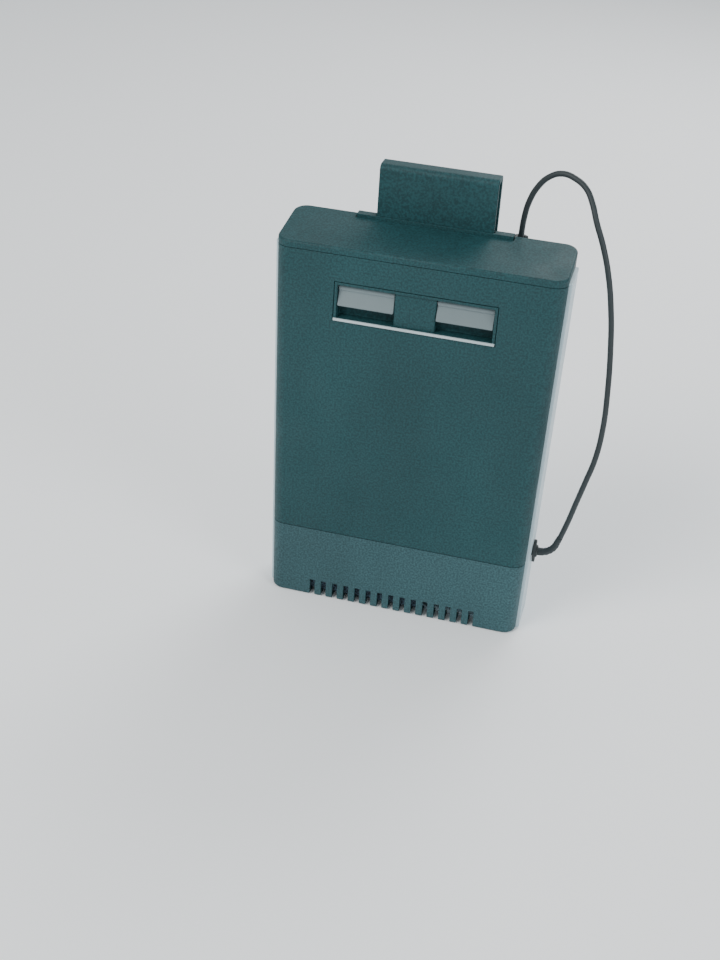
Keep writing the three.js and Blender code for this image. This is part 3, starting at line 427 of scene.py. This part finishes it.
TAIL_ROUTE = [
    (-1.0, 27.7, 4.7), (-7.0, 27.8, 4.9), (-10.5, 28.2, 5.6), (-14.0, 29.3, 6.4), (-17.3, 30.9, 6.8),
    (-20.6, 32.8, 6.8),
]
COIL_CENTRE = (6.5, 48.6)
COIL_RADII = [21, 18, 15, 12, 12, 15, 18, 21]
COIL_LAYER_HEIGHTS = [1.6, 1.6, 1.6, 1.6, 4.6, 4.6, 4.6, 4.6]
TURN_POINTS = 16


def coil_points():
    """Turn after turn, clockwise from the front: inwards along the ground, then outwards on top."""
    points = []
    for turn, (radius, height) in enumerate(zip(COIL_RADII, COIL_LAYER_HEIGHTS)):
        last = turn == len(COIL_RADII) - 1
        next_radius = radius if last else COIL_RADII[turn + 1]
        next_height = height if last else COIL_LAYER_HEIGHTS[turn + 1]
        for step in range(TURN_POINTS):
            part = step / TURN_POINTS
            ease = max(0.0, (part - 0.7) / 0.3) ** 2 * (3 - 2 * max(0.0, (part - 0.7) / 0.3))
            angle = -math.pi / 2 - 2 * math.pi * part
            r = radius + (next_radius - radius) * ease
            points.append((COIL_CENTRE[0] + r * math.cos(angle), COIL_CENTRE[1] + r * math.sin(angle),
                           height + (next_height - height) * ease))
    points.append((COIL_CENTRE[0], COIL_CENTRE[1] - COIL_RADII[-1], COIL_LAYER_HEIGHTS[-1]))
    return points


def make_cord():
    data = bpy.data.curves.new("power_cord", "CURVE")
    data.dimensions = "3D"
    data.resolution_u = 6
    data.bevel_depth = CORD_RADIUS * MM
    data.bevel_resolution = 4
    data.use_fill_caps = True
    route = CORD_ROUTE + coil_points() + TAIL_ROUTE
    spline = data.splines.new("BEZIER")
    spline.bezier_points.add(len(route) - 1)
    for knot, point in zip(spline.bezier_points, route):
        knot.co = Vector(point) * MM
        knot.handle_left_type = knot.handle_right_type = "AUTO"
    cord = bpy.data.objects.new("power_cord", data)
    bpy.context.scene.collection.objects.link(cord)
    data.materials.append(MATERIALS["rubber"])
    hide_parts("cord_run", "cord_coil", "cord_tail")
    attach(cord, "case")
    return cord


# ------------------------------------------------------------------ the case
_, BASE_HIGH = box_mm("intake_base")
COVER_LOW, COVER_HIGH = box_mm("front_cover")
LID_LOW, LID_HIGH = box_mm("lid")
SOCKET_LOW, SOCKET_HIGH = box_mm("hanger_socket")
TRAY_LOW, TRAY_HIGH = box_mm("outlet_tray")
WALL = 2.0
CORNER = 7.0
GAP = 0.3
SLIDE_GAP = 0.5
FRONT = COVER_LOW.y
REAR = LID_HIGH.y
LID_FRONT_TOP = 208.5
SLOT_COUNT = 15
SLOT_PITCH = 6.45
SLOT_WIDTH = 2.9
SLOT_HEIGHT = 10.0
POST_RADIUS = 3.5
POST_START = FRONT + 3.5
LOWER_POST = 28.0
UPPER_POST = 196.0
FOOT_HALF_WIDTH = 69.5


def half_width(z):
    """The case widens evenly from its foot to its lid."""
    slope = (LID_HIGH.x - FOOT_HALF_WIDTH) / LID_HIGH.z
    return FOOT_HALF_WIDTH + slope * z


def case_box(low, high):
    """The case's tapered box between two heights, its upright corners rounded."""
    bm = bmesh.new()
    for vert in bmesh.ops.create_cube(bm, size=1.0)["verts"]:
        z = high if vert.co.z > 0 else low
        x = math.copysign(half_width(z), vert.co.x)
        vert.co = (x, REAR if vert.co.y > 0 else FRONT, z)
    upright = [e for e in bm.edges if abs(e.verts[0].co.z - e.verts[1].co.z) > 1e-3]
    round_off(bm, upright, CORNER, 12)
    return bm


def drop_level(bm, z):
    drop_faces(bm, lambda point: abs(point.z - z) < 0.01)


def add_posts(bm, height, end):
    """The two screw posts at a height, from just inside the front."""
    for side in (-1, 1):
        x = side * (half_width(height) - WALL - 3)
        add_bar(bm, POST_RADIUS, (x, POST_START, height), (x, end, height), segments=32)


def make_front_cover():
    bm = case_box(COVER_LOW.z, COVER_HIGH.z)
    cut_at(bm, (0, COVER_HIGH.y, 0), (0, 1, 0), drop=True)
    drop_level(bm, COVER_LOW.z)
    drop_level(bm, COVER_HIGH.z)
    half = TRAY_HIGH.x + GAP
    bottom, top = TRAY_LOW.z - GAP, TRAY_HIGH.z + GAP
    for side in (-1, 1):
        cut_at(bm, (side * half, 0, 0), (1, 0, 0))
    cut_at(bm, (0, 0, bottom), (0, 0, 1))
    cut_at(bm, (0, 0, top), (0, 0, 1))
    drop_faces(bm, lambda p: abs(p.x) < half and bottom < p.z < top)
    give_wall(bm, WALL)
    add_posts(bm, UPPER_POST, COVER_HIGH.y)
    make_piece("front_cover_shell", bm, "front_cover", bevel=0.35, segments=3)


def make_intake_base():
    bm = case_box(0, BASE_HIGH.z)
    cut_at(bm, (0, BASE_HIGH.y, 0), (0, 1, 0), drop=True)
    drop_level(bm, BASE_HIGH.z)
    under = [e for e in sharp(bm.edges) if max(v.co.z for v in e.verts) < 0.01]
    round_off(bm, under, 1.2, 4)
    centres = [(i - (SLOT_COUNT - 1) / 2) * SLOT_PITCH for i in range(SLOT_COUNT)]
    for centre in centres:
        cut_at(bm, (centre - SLOT_WIDTH / 2, 0, 0), (1, 0, 0))
        cut_at(bm, (centre + SLOT_WIDTH / 2, 0, 0), (1, 0, 0))
    cut_at(bm, (0, 0, SLOT_HEIGHT), (0, 0, 1))

    def in_slot(point):
        return point.z < SLOT_HEIGHT and any(abs(point.x - c) < SLOT_WIDTH / 2 for c in centres)
    drop_faces(bm, in_slot)
    give_wall(bm, WALL)
    add_posts(bm, LOWER_POST, BASE_HIGH.y)
    make_piece("intake_base_shell", bm, "intake_base", bevel=0.25, material=BASE_SHELL)


def make_lid():
    bm = case_box(LID_LOW.z, LID_HIGH.z)
    rise = (LID_HIGH.z - LID_FRONT_TOP) / (REAR - FRONT)
    for vert in bm.verts:
        if vert.co.z > LID_LOW.z + 1:
            vert.co.z = LID_FRONT_TOP + rise * (vert.co.y - FRONT)
    drop_level(bm, LID_LOW.z)
    half = SOCKET_HIGH.x + SLIDE_GAP
    front_of_socket = SOCKET_LOW.y - SLIDE_GAP
    for side in (-1, 1):
        cut_at(bm, (side * half, 0, 0), (1, 0, 0))
    cut_at(bm, (0, front_of_socket, 0), (0, 1, 0))
    round_off(bm, [e for e in sharp(bm.edges) if min(v.co.z for v in e.verts) > LID_LOW.z + 1], 1.4, 4)
    drop_faces(bm, lambda p: abs(p.x) < half and p.y > front_of_socket)
    rim = [e for e in bm.edges if e.is_boundary and min(v.co.z for v in e.verts) > LID_LOW.z + 2
           and all(abs(v.co.x) < half + 0.01 and v.co.y < REAR - 1.5 for v in e.verts)]
    wall = bmesh.ops.extrude_edge_only(bm, edges=rim)["geom"]
    for vert in wall:
        if isinstance(vert, bmesh.types.BMVert):
            vert.co.z = LID_LOW.z + 0.4
    give_wall(bm, WALL)
    make_piece("lid_shell", bm, "lid", bevel=0.35, segments=3)


# ------------------------------------------------------------------ pieces refined from their solids
def refined(name, node, bevel, segments=2, material=None):
    """A solid's own mesh, merged and cleaned, with its edges eased."""
    bm = bmesh.new()
    bm.from_mesh(frame["nodes"][node].data)
    bmesh.ops.scale(bm, vec=(1 / MM, 1 / MM, 1 / MM), verts=bm.verts[:])
    bmesh.ops.remove_doubles(bm, verts=bm.verts[:], dist=2e-3)
    bmesh.ops.dissolve_limit(bm, angle_limit=math.radians(0.5), verts=bm.verts[:], edges=bm.edges[:])
    obj = make_piece(name, bm, node, bevel=bevel, segments=segments, material=material)
    if bevel:
        obj.modifiers["soft_edges"].use_clamp_overlap = False
    return obj


def make_rear_housing():
    """The outer sides of its two rails are coloured greyer than the rest, as painted shade."""
    housing = refined("rear_housing_shell", "rear_housing", 0.25)
    housing.data.materials.append(RAIL_SIDE_PAINTED_SHADE)
    # faces turned sideways, outside the case's width, get the greyer painted shade
    for face in housing.data.polygons:
        place = face.center / MM
        if abs(face.normal.x) > 0.7 and abs(place.x) > half_width(place.z) + 0.5:
            face.material_index = 1


# ------------------------------------------------------------------ hook, clip and outlet
def add_profile(bm, outline, axis, low, high):
    """Pushes an outline, drawn across an axis, from one place on it to another."""
    place = {"X": lambda a, b, c: (c, a, b), "Y": lambda a, b, c: (a, c, b), "Z": lambda a, b, c: (a, b, c)}
    verts = [bm.verts.new(place[axis](a, b, low)) for a, b in outline]
    face = bm.faces.new(verts)
    pushed = bmesh.ops.extrude_face_region(bm, geom=[face], use_keep_orig=True)["geom"]
    moved = [v for v in pushed if isinstance(v, bmesh.types.BMVert)]
    along = {"X": (1, 0, 0), "Y": (0, 1, 0), "Z": (0, 0, 1)}[axis]
    bmesh.ops.translate(bm, vec=Vector(along) * (high - low), verts=moved)
    made = verts + moved
    bmesh.ops.recalc_face_normals(bm, faces=list({f for v in made for f in v.link_faces}))
    return made


def make_hanger():
    low, high = box_mm("hanger")
    _, pad_high = box_mm("hanger_pad")
    plate = low.y + 2
    leg = pad_high.y + GAP
    rim = high.z - 2.5
    foot = rim - 36
    bm = bmesh.new()
    made = add_profile(bm, [(low.y, low.z), (plate, low.z), (plate, rim), (leg, rim), (leg, foot),
                            (high.y, foot), (high.y, high.z), (low.y, high.z)], "X", low.x, high.x)
    corners = [e for e in edges_of(made) if all(v.co.z > rim + 1 for v in e.verts)
               and abs(e.verts[0].co.x - e.verts[1].co.x) > 1]
    round_off(bm, corners, 3.0, 10)
    sides = [e for e in sharp(bm.edges) if all(v.co.z < foot + 0.01 for v in e.verts)
             and abs(e.verts[0].co.y - e.verts[1].co.y) > 1 and foot - 1 < e.verts[0].co.z]
    round_off(bm, sides, 1.5, 4)
    make_piece("hanger_hook", bm, "hanger", bevel=0.4, segments=3)


def make_hanger_pad():
    low, high = box_mm("hanger_pad")
    bm = bmesh.new()
    made = add_block(bm, low, high)
    upright = [e for e in edges_of(made) if abs(e.verts[0].co.y - e.verts[1].co.y) > 0.1]
    round_off(bm, upright, 2.0, 6)
    for height in range(8, 24, 4):
        cut_at(bm, (0, 0, low.z + height - 0.7), (0, 0, 1))
        cut_at(bm, (0, 0, low.z + height + 0.7), (0, 0, 1))
    for vert in bm.verts:
        middle = min(abs(vert.co.z - low.z - height) for height in range(8, 24, 4))
        if vert.co.y < low.y + 0.1 and middle < 0.8:
            vert.co.y += 0.35
    make_piece("hanger_pad_rubber", bm, "hanger_pad", bevel=0.15)


def make_cord_clip():
    low, high = box_mm("cord_clip")
    bm = bmesh.new()
    centre_x, centre_y = 42.0, 27.6
    outer, bore = CORD_RADIUS + 2.4, CORD_RADIUS + GAP
    add_block(bm, (low.x, 27.4, low.z), (centre_x - bore - 0.4, 29.2, high.z))
    start = math.radians(24)
    ring = [bm.verts.new((centre_x + r * math.cos(start), centre_y + r * math.sin(start), z))
            for r, z in ((bore, low.z), (outer, low.z), (outer, high.z), (bore, high.z))]
    section = bm.faces.new(ring)
    bmesh.ops.spin(bm, geom=[section], cent=(centre_x, centre_y, 0), axis=(0, 0, 1), dvec=(0, 0, 0),
                   angle=2 * (math.pi - start), steps=32, use_merge=False, use_duplicate=False)
    bmesh.ops.recalc_face_normals(bm, faces=bm.faces[:])
    make_piece("cord_clip_ring", bm, "cord_clip", bevel=0.3)


PIN_Y = -15.0
PIN_Z = 186.7
FLAP_TILT = math.radians(20)


def make_outlet_tray():
    """The tray with its middle block, and the lip along its lower edge, paler as a painted highlight."""
    low, high = TRAY_LOW.copy(), TRAY_HIGH.copy()
    lip_front = low.y
    low.y = FRONT
    tray_wall, block_half, block_back = 1.4, 10.5, FRONT + 5.6
    inset = tray_wall / 2
    bm = bmesh.new()
    add_block(bm, low, high)
    drop_faces(bm, lambda p: p.y < low.y + 0.01)
    give_wall(bm, tray_wall)
    block = add_block(bm, (-block_half, FRONT + 1, low.z + inset), (block_half, block_back, high.z - inset))
    round_off(bm, [e for e in edges_of(block) if all(v.co.y < FRONT + 2 for v in e.verts)], 0.8, 4)
    make_piece("outlet_tray_louvred", bm, "outlet_tray", bevel=0.2)
    bm = bmesh.new()
    lip = add_block(bm, (low.x, lip_front, low.z), (high.x, FRONT, low.z + tray_wall))
    round_off(bm, [e for e in edges_of(lip) if all(v.co.y < lip_front + 0.1 for v in e.verts)], 0.6, 4)
    # the lip is a separate piece so that it can carry the paler painted highlight
    make_piece("outlet_lip", bm, "outlet_tray", material=LIP_PAINTED_HIGHLIGHT)


def make_flap(side, node):
    """Built hanging straight down from its hub, then tilted about the pin."""
    low, high = box_mm(node)
    length = high.x - low.x
    reach, half_thick = 9.5, 0.8
    bore, hub = 1.12, 1.9
    bm = bmesh.new()
    paddle = add_block(bm, (low.x, -half_thick, -reach), (high.x, half_thick, 0))
    lower = [e for e in edges_of(paddle) if all(v.co.z < 0.5 - reach for v in e.verts)]
    round_off(bm, lower, 0.7, 4)
    add_turned(bm, [(bore, 0), (hub, 0), (hub, length), (bore, length)], (low.x, 0, 0), (1, 0, 0), 32)
    place = Matrix.Translation((0, PIN_Y, PIN_Z)) @ Matrix.Rotation(-FLAP_TILT, 4, "X")
    bmesh.ops.transform(bm, matrix=place, verts=bm.verts[:])
    make_piece(f"louvre_{side}", bm, node, bevel=0.2)


def make_flap_pin():
    low, high = box_mm("flap_pin")
    bm = bmesh.new()
    length = high.x - low.x
    add_turned(bm, [(0, 0), (0.7, 0), (1, 0.3), (1, length - 0.3), (0.7, length), (0, length)],
               (low.x, PIN_Y, PIN_Z), (1, 0, 0), 24)
    make_piece("louvre_pin", bm, "flap_pin")


# ------------------------------------------------------------------ media
def make_basket():
    """An open tub with windows in its floor and sides, and a tall grip over it."""
    low, high = box_mm("media_basket")
    sides_top = 160.0
    wall = 1.5
    columns, rows = 6, 4
    floor_edge = 4.0
    grip_half, grip_leg, grip_bar = 4.0, 2.0, 3.0
    bm = bmesh.new()
    add_block(bm, low, (high.x, high.y, sides_top))
    drop_level(bm, sides_top)
    pitch_x = (high.x - low.x - 2 * wall) / columns
    pitch_z = (sides_top - low.z - 3 * wall) / rows
    across = [(low.x + 1.5 * wall + pitch_x * i, low.x + 0.5 * wall + pitch_x * (i + 1))
              for i in range(columns)]
    upward = [(low.z + 2 * wall + pitch_z * j, low.z + wall + pitch_z * (j + 1)) for j in range(rows)]
    for edge in [x for pair in across for x in pair]:
        cut_at(bm, (edge, 0, 0), (1, 0, 0))
    for edge in [z for pair in upward for z in pair]:
        cut_at(bm, (0, 0, edge), (0, 0, 1))
    for edge in (low.y + floor_edge, high.y - floor_edge):
        cut_at(bm, (0, edge, 0), (0, 1, 0))

    def in_window(point):
        if not any(a < point.x < b for a, b in across):
            return False
        if point.z < low.z + 0.01:
            return low.y + floor_edge < point.y < high.y - floor_edge
        return any(a < point.z < b for a, b in upward)
    drop_faces(bm, in_window)
    give_wall(bm, wall)
    middle = (low.y + high.y) / 2
    foot, under = sides_top - 4, high.z - grip_bar
    left, right = low.x + grip_leg, high.x - grip_leg
    grip = add_profile(bm, [(low.x, foot), (low.x, high.z), (high.x, high.z), (high.x, foot),
                            (right, foot), (right, under), (left, under), (left, foot)],
                       "Y", middle - grip_half, middle + grip_half)
    top = [e for e in edges_of(grip) if all(v.co.z > high.z - 0.1 for v in e.verts)
           and abs(e.verts[0].co.y - e.verts[1].co.y) > 1]
    round_off(bm, top, 2.0, 6)
    make_piece("media_basket_tub", bm, "media_basket", bevel=0.25)


def make_foam(name, node, dent, material=None, bulge=0.0):
    """A soft block: rounded, slightly uneven, and swollen in the middle of its broad faces."""
    low, high = box_mm(node)
    bm = bmesh.new()
    made = add_block(bm, low, high)
    round_off(bm, edges_of(made), 1.6, 3)
    bmesh.ops.subdivide_edges(bm, edges=bm.edges[:], cuts=7, use_grid_fill=True)
    middle, half = (low + high) / 2, (high - low) / 2
    for vert in bm.verts:
        along = (vert.co.x - middle.x) / half.x, (vert.co.z - middle.z) / half.z
        swell = max(0.0, 1 - along[0] ** 2) * max(0.0, 1 - along[1] ** 2)
        depth = (vert.co.y - middle.y) / half.y
        uneven = noise.noise(vert.co * 0.16) * dent + noise.noise(vert.co * 0.5) * dent * 0.4
        vert.co.y -= depth * (bulge * (1 - swell) + dent * 0.7 - uneven)
        vert.co.x -= along[0] * (dent * 0.5 + abs(uneven) * 0.5)
        vert.co.z -= along[1] * (dent * 0.5 + abs(uneven) * 0.5)
    obj = make_piece(name, bm, node, material=material)


# ------------------------------------------------------------------ pump
PUMP_AXIS_Z = 26.9
RISER_X = 29.0


def make_pump_cover():
    low, high = box_mm("pump_cover")
    start = low.x
    bm = bmesh.new()
    add_turned(bm, [(5.5, 0), (12.6, 0), (13.6, 0.4), (14, 1.4), (14, 9.7), (11.3, 9.7), (11.3, 1.6),
                    (5.5, 1.6)], (start, 0, PUMP_AXIS_Z), (1, 0, 0), 64)
    add_block(bm, (start, -6, PUMP_AXIS_Z - 1.2), (start + 1.6, 6, PUMP_AXIS_Z + 1.2))
    add_turned(bm, [(2.3, 0), (3.4, 0), (3.4, 1.6), (2.3, 1.6)], (start, 0, PUMP_AXIS_Z), (1, 0, 0), 32)
    base = PUMP_AXIS_Z + 10.6
    top = high.z - base
    add_turned(bm, [(3.2, 0), (7, 0), (7, top - 0.6), (6.6, top), (6.1, top), (6.1, top - 4),
                    (4.8, top - 4), (4.8, top - 10), (3.2, top - 10)], (RISER_X, 0, base), (0, 0, 1), 48)
    make_piece("pump_volute", bm, "pump_cover", bevel=0.2)


def make_impeller():
    low, high = box_mm("impeller")
    bm = bmesh.new()
    start, end = low.x, high.x - 2
    add_turned(bm, [(1.1, 0), (2.6, 0), (3.2, 0.6), (3.2, end - start - 1.2), (10, end - start - 1.2),
                    (10, end - start), (3.2, end - start), (3.2, high.x - start), (1.1, high.x - start)],
               (start, 0, PUMP_AXIS_Z), (1, 0, 0), 48)
    for blade in range(6):
        turn = Matrix.Translation((0, 0, PUMP_AXIS_Z)) @ Matrix.Rotation(blade * math.pi / 3, 4, "X")
        made = add_block(bm, (start, 2.4, -0.5), (end - 0.6, 9.6, 0.5))
        bmesh.ops.transform(bm, matrix=turn, verts=made)
    make_piece("impeller_wheel", bm, "impeller", bevel=0.15)


def make_sleeve(name, node, axis, outer, bore, chamfer=0.2, centre=None):
    """A turned ring, or a pin where it has no bore, filling its solid's length."""
    low, high = box_mm(node)
    index = "XYZ".index(axis)
    origin = (low + high) / 2
    if centre:
        origin = Vector(centre)
    origin[index] = low[index]
    length = high[index] - low[index]
    outline = [(bore, 0), (outer - chamfer, 0), (outer, chamfer), (outer, length - chamfer),
               (outer - chamfer, length), (bore, length)]
    bm = bmesh.new()
    add_turned(bm, outline, origin, [float(i == index) for i in range(3)], 40)
    make_piece(name, bm, node)


def make_riser():
    bend, mouth, rise = 9.0, -12.1, 180.25
    stations = [((RISER_X, 0, z), (0, 0, 1), 4.5) for z in (46.3, 80, 110, 140, rise - bend)]
    for step in range(1, 11):
        turn = step * math.pi / 20
        place = (RISER_X, -bend * (1 - math.cos(turn)), rise - bend + bend * math.sin(turn))
        stations.append((place, (0, -math.sin(turn), math.cos(turn)), 4.5))
    stations.append(((RISER_X, mouth, rise), (0, -1, 0), 4.5))
    bm = bmesh.new()
    add_loft(bm, stations, 40)
    ends = [f for f in bm.faces if len(f.verts) > 4]
    bmesh.ops.delete(bm, geom=ends, context="FACES_ONLY")
    give_wall(bm, 1.3)
    make_piece("riser_tube", bm, "riser_pipe", bevel=0.15)


# ------------------------------------------------------------------ gland, sleeve, plug and fixings
GLAND_Y = 1.5
GLAND_Z = 43.5


def make_gland():
    low, high = box_mm("cable_gland")
    bm = bmesh.new()
    nut = bmesh.ops.create_cone(bm, cap_ends=True, segments=6, radius1=4.5, radius2=4.5, depth=2.2,
                                matrix=Matrix.Translation((low.x + 1.1, GLAND_Y, GLAND_Z))
                                @ Matrix.Rotation(math.pi / 2, 4, "Y"))["verts"]
    round_off(bm, edges_of(nut), 0.3, 2)
    length = high.x - low.x - 2
    add_turned(bm, [(1.8, 0), (2.9, 0), (2.9, length), (1.8, length)],
               (low.x + 2, GLAND_Y, GLAND_Z), (1, 0, 0), 32)
    make_piece("gland_barrel", bm, "cable_gland")


def make_gland_plate():
    low, high = box_mm("gland_plate")
    bm = bmesh.new()
    tip, waist = (high.y - low.y) / 4, (high.y - low.y) / 2
    reach = (high.z - low.z) / 2 - tip
    outline = []
    for end in (1, -1):
        for step in range(9):
            turn = math.pi * step / 8 + (0 if end > 0 else math.pi)
            outline.append((GLAND_Y + tip * math.cos(turn), GLAND_Z + end * reach + tip * math.sin(turn)))
        outline.append((GLAND_Y - end * waist, GLAND_Z))
    made = add_profile(bm, outline, "X", low.x, high.x)
    outer = [e for e in edges_of(made) if all(v.co.x > high.x - 0.01 for v in e.verts)]
    round_off(bm, outer, 0.5, 3)
    add_turned(bm, [(2.3, 0), (3.4, 0), (3.4, 0.5), (3.0, 0.9), (2.3, 0.9)],
               (high.x, GLAND_Y, GLAND_Z), (1, 0, 0), 32)
    make_piece("gland_cover_plate", bm, "gland_plate")


def make_relief():
    """The ribbed sleeve: out of the plate, up a short bend, then straight and thinner to its tip."""
    low, _ = box_mm("strain_relief")
    lead, bend, sweep, tip = 1.2, 9.0, 0.4 * math.pi, 5.0
    stations = [((x, GLAND_Y, GLAND_Z), (1, 0, 0), 2.2) for x in (low.x, low.x + lead)]
    steps = 24
    tip_steps = 9
    for step in range(1, steps + 1):
        turn = min(sweep, sweep * step / (steps - tip_steps))
        beyond = max(0.0, tip * (step - steps + tip_steps) / tip_steps)
        place = (low.x + lead + bend * math.sin(turn) + beyond * math.cos(turn), GLAND_Y,
                 GLAND_Z + bend * (1 - math.cos(turn)) + beyond * math.sin(turn))
        radius = 2.2 - 0.55 * step / steps - (0.18 if step % 3 == 1 and step > 3 else 0.0)
        stations.append((place, (math.cos(turn), 0, math.sin(turn)), radius))
    bm = bmesh.new()
    add_loft(bm, stations, 28)
    relief = make_piece("cord_sleeve", bm, "strain_relief")
    relief.modifiers.remove(relief.modifiers["shading"])
    return relief


def make_tie():
    low, high = box_mm("coil_tie")
    bm = bmesh.new()
    band = add_block(bm, low, high)
    drop_faces(bm, lambda p: abs(p.x - low.x) < 0.01 or abs(p.x - high.x) < 0.01)
    corners = [e for e in edges_of(band) if e.is_valid and abs(e.verts[0].co.x - e.verts[1].co.x) > 1]
    round_off(bm, corners, 1.0, 5)
    give_wall(bm, 0.8)
    add_block(bm, (low.x + 0.6, low.y + 5, high.z - 0.2), (high.x - 0.6, low.y + 8.5, high.z + 1.1))
    return make_piece("coil_tie_strap", bm, "coil_tie", bevel=0.2)


PLUG_PLACE = Matrix.Translation((-21.0, 33.0, 0.0)) @ Matrix.Rotation(math.radians(-30), 4, "Z")
PLUG_HEIGHT = 13.6


def make_plug():
    """Built along its own axis, the cord's end at the origin, then laid in its place."""
    half = 13.0
    bm = bmesh.new()
    made = add_profile(bm, [(0, -3.5), (-12, -half), (-31, -half), (-34, -half + 3), (-34, half - 3),
                            (-31, half), (-12, half), (0, 3.5)], "Z", 0.05, PLUG_HEIGHT)
    round_off(bm, edges_of(made), 2.4, 5)
    for rib in range(5):
        x = -14 - 3.2 * rib
        for side in (-1, 1):
            edge = side * (half - 0.2)
            ridge = add_block(bm, (x - 0.7, edge - 0.5, 3), (x + 0.7, edge + 0.5, PLUG_HEIGHT - 3))
            round_off(bm, edges_of(ridge), 0.3, 2)
    bmesh.ops.transform(bm, matrix=PLUG_PLACE, verts=bm.verts[:])
    return make_piece("mains_plug", bm, "plug_body")


def make_plug_pin(side, node):
    low, high = box_mm(node)
    middle = PLUG_PLACE.inverted() @ ((low + high) / 2)
    length = 18.0
    bm = bmesh.new()
    tip = (middle.x - length / 2, middle.y, middle.z)
    add_turned(bm, [(0, 0), (1.2, 0.15), (1.8, 0.7), (2, 1.6), (2, length - 8), (1.85, length - 7.8),
                    (1.85, length), (0, length)], tip, (1, 0, 0), 32)
    bmesh.ops.transform(bm, matrix=PLUG_PLACE, verts=bm.verts[:])
    return make_piece(f"mains_pin_{side}", bm, node)


def make_screw(node, radius=1.2, head_radius=2.5, head=1.6):
    low, high = box_mm(node)
    centre = (low + high) / 2
    bm = bmesh.new()
    length = high.y - low.y
    outline = [(0, 0), (radius - 0.4, 0), (radius, 0.6)]
    turns = int((length - head - 1.4) / 0.8)
    for turn in range(turns):
        start = 0.6 + 0.8 * turn
        outline += [(radius, start + 0.15), (radius - 0.25, start + 0.45), (radius, start + 0.75)]
    seat = length - head
    outline += [(radius, seat), (head_radius, seat), (head_radius, seat + 0.7),
                (head_radius - 0.5, length - 0.2), (head_radius - 1.0, length), (1.15, length),
                (1.0, length - 0.9), (0, length - 0.9)]
    add_turned(bm, outline, (centre.x, low.y, centre.z), (0, 1, 0), 24)
    make_piece(f"{node}_threaded", bm, node)


def make_bumper(node):
    low, high = box_mm(node)
    centre = (low + high) / 2
    length = high.y - low.y
    bm = bmesh.new()
    add_turned(bm, [(0, 0), (6, 0), (6, length - 0.6), (5.6, length - 0.15), (4.6, length), (2.2, length),
                    (1.8, length - 0.4), (0, length - 0.4)], (centre.x, low.y, centre.z), (0, 1, 0), 40)
    make_piece(f"{node}_rubber", bm, node)


# ------------------------------------------------------------------ putting it together
make_camera()
make_stage()
cord = make_cord()
sleeve = make_relief()
on_cord = [sleeve, make_tie(), make_plug(), make_plug_pin("near", "plug_pin_near"),
           make_plug_pin("far", "plug_pin_far")]

make_front_cover()
make_intake_base()
make_lid()
make_rear_housing()
refined("hanger_socket_block", "hanger_socket", 0.3)
make_hanger()
make_hanger_pad()
make_cord_clip()
make_outlet_tray()
make_flap("left", "outlet_flap_left")
make_flap("right", "outlet_flap_right")
make_flap_pin()
make_basket()
make_foam("coarse_filter_sponge", "coarse_sponge", 0.5)
make_foam("ceramic_media_bag", "media_bag", 0.8, material=NET, bulge=1.6)
make_foam("fine_filter_wool", "fine_sponge", 0.9, bulge=1.0)
make_foam("prefilter_block", "prefilter_sponge", 0.5)
make_pump_cover()
refined("pump_motor_housing", "pump_body", 0.3)
refined("motor_end_cap", "motor_cap", 0.3)
refined("laminated_core", "stator_core", 0.1, material=LAMINATED)
refined("coil_winding", "stator_coil", 0.7, segments=3)
make_impeller()
make_sleeve("ferrite_rotor", "rotor_magnet", "X", 6.4, 1.1, 0.5)
make_sleeve("ceramic_shaft", "impeller_shaft", "X", 1.0, 0.0, 0.3)
make_sleeve("front_bush", "shaft_bush_front", "X", 2.0, 1.3)
make_sleeve("rear_bush", "shaft_bush_rear", "X", 2.0, 1.3)
make_sleeve("riser_seal_ring", "riser_seal", "Z", 5.8, 4.75, 0.3)
make_riser()
make_gland()
make_gland_plate()
make_sleeve("inner_lead", "pump_lead", "X", CORD_RADIUS, 0.0, 0.2)
for corner in ("lower_left", "lower_right", "upper_left", "upper_right"):
    make_screw(f"case_screw_{corner}")
for side in ("left", "right"):
    make_screw(f"socket_screw_{side}")
    make_bumper(f"rear_bumper_{side}")
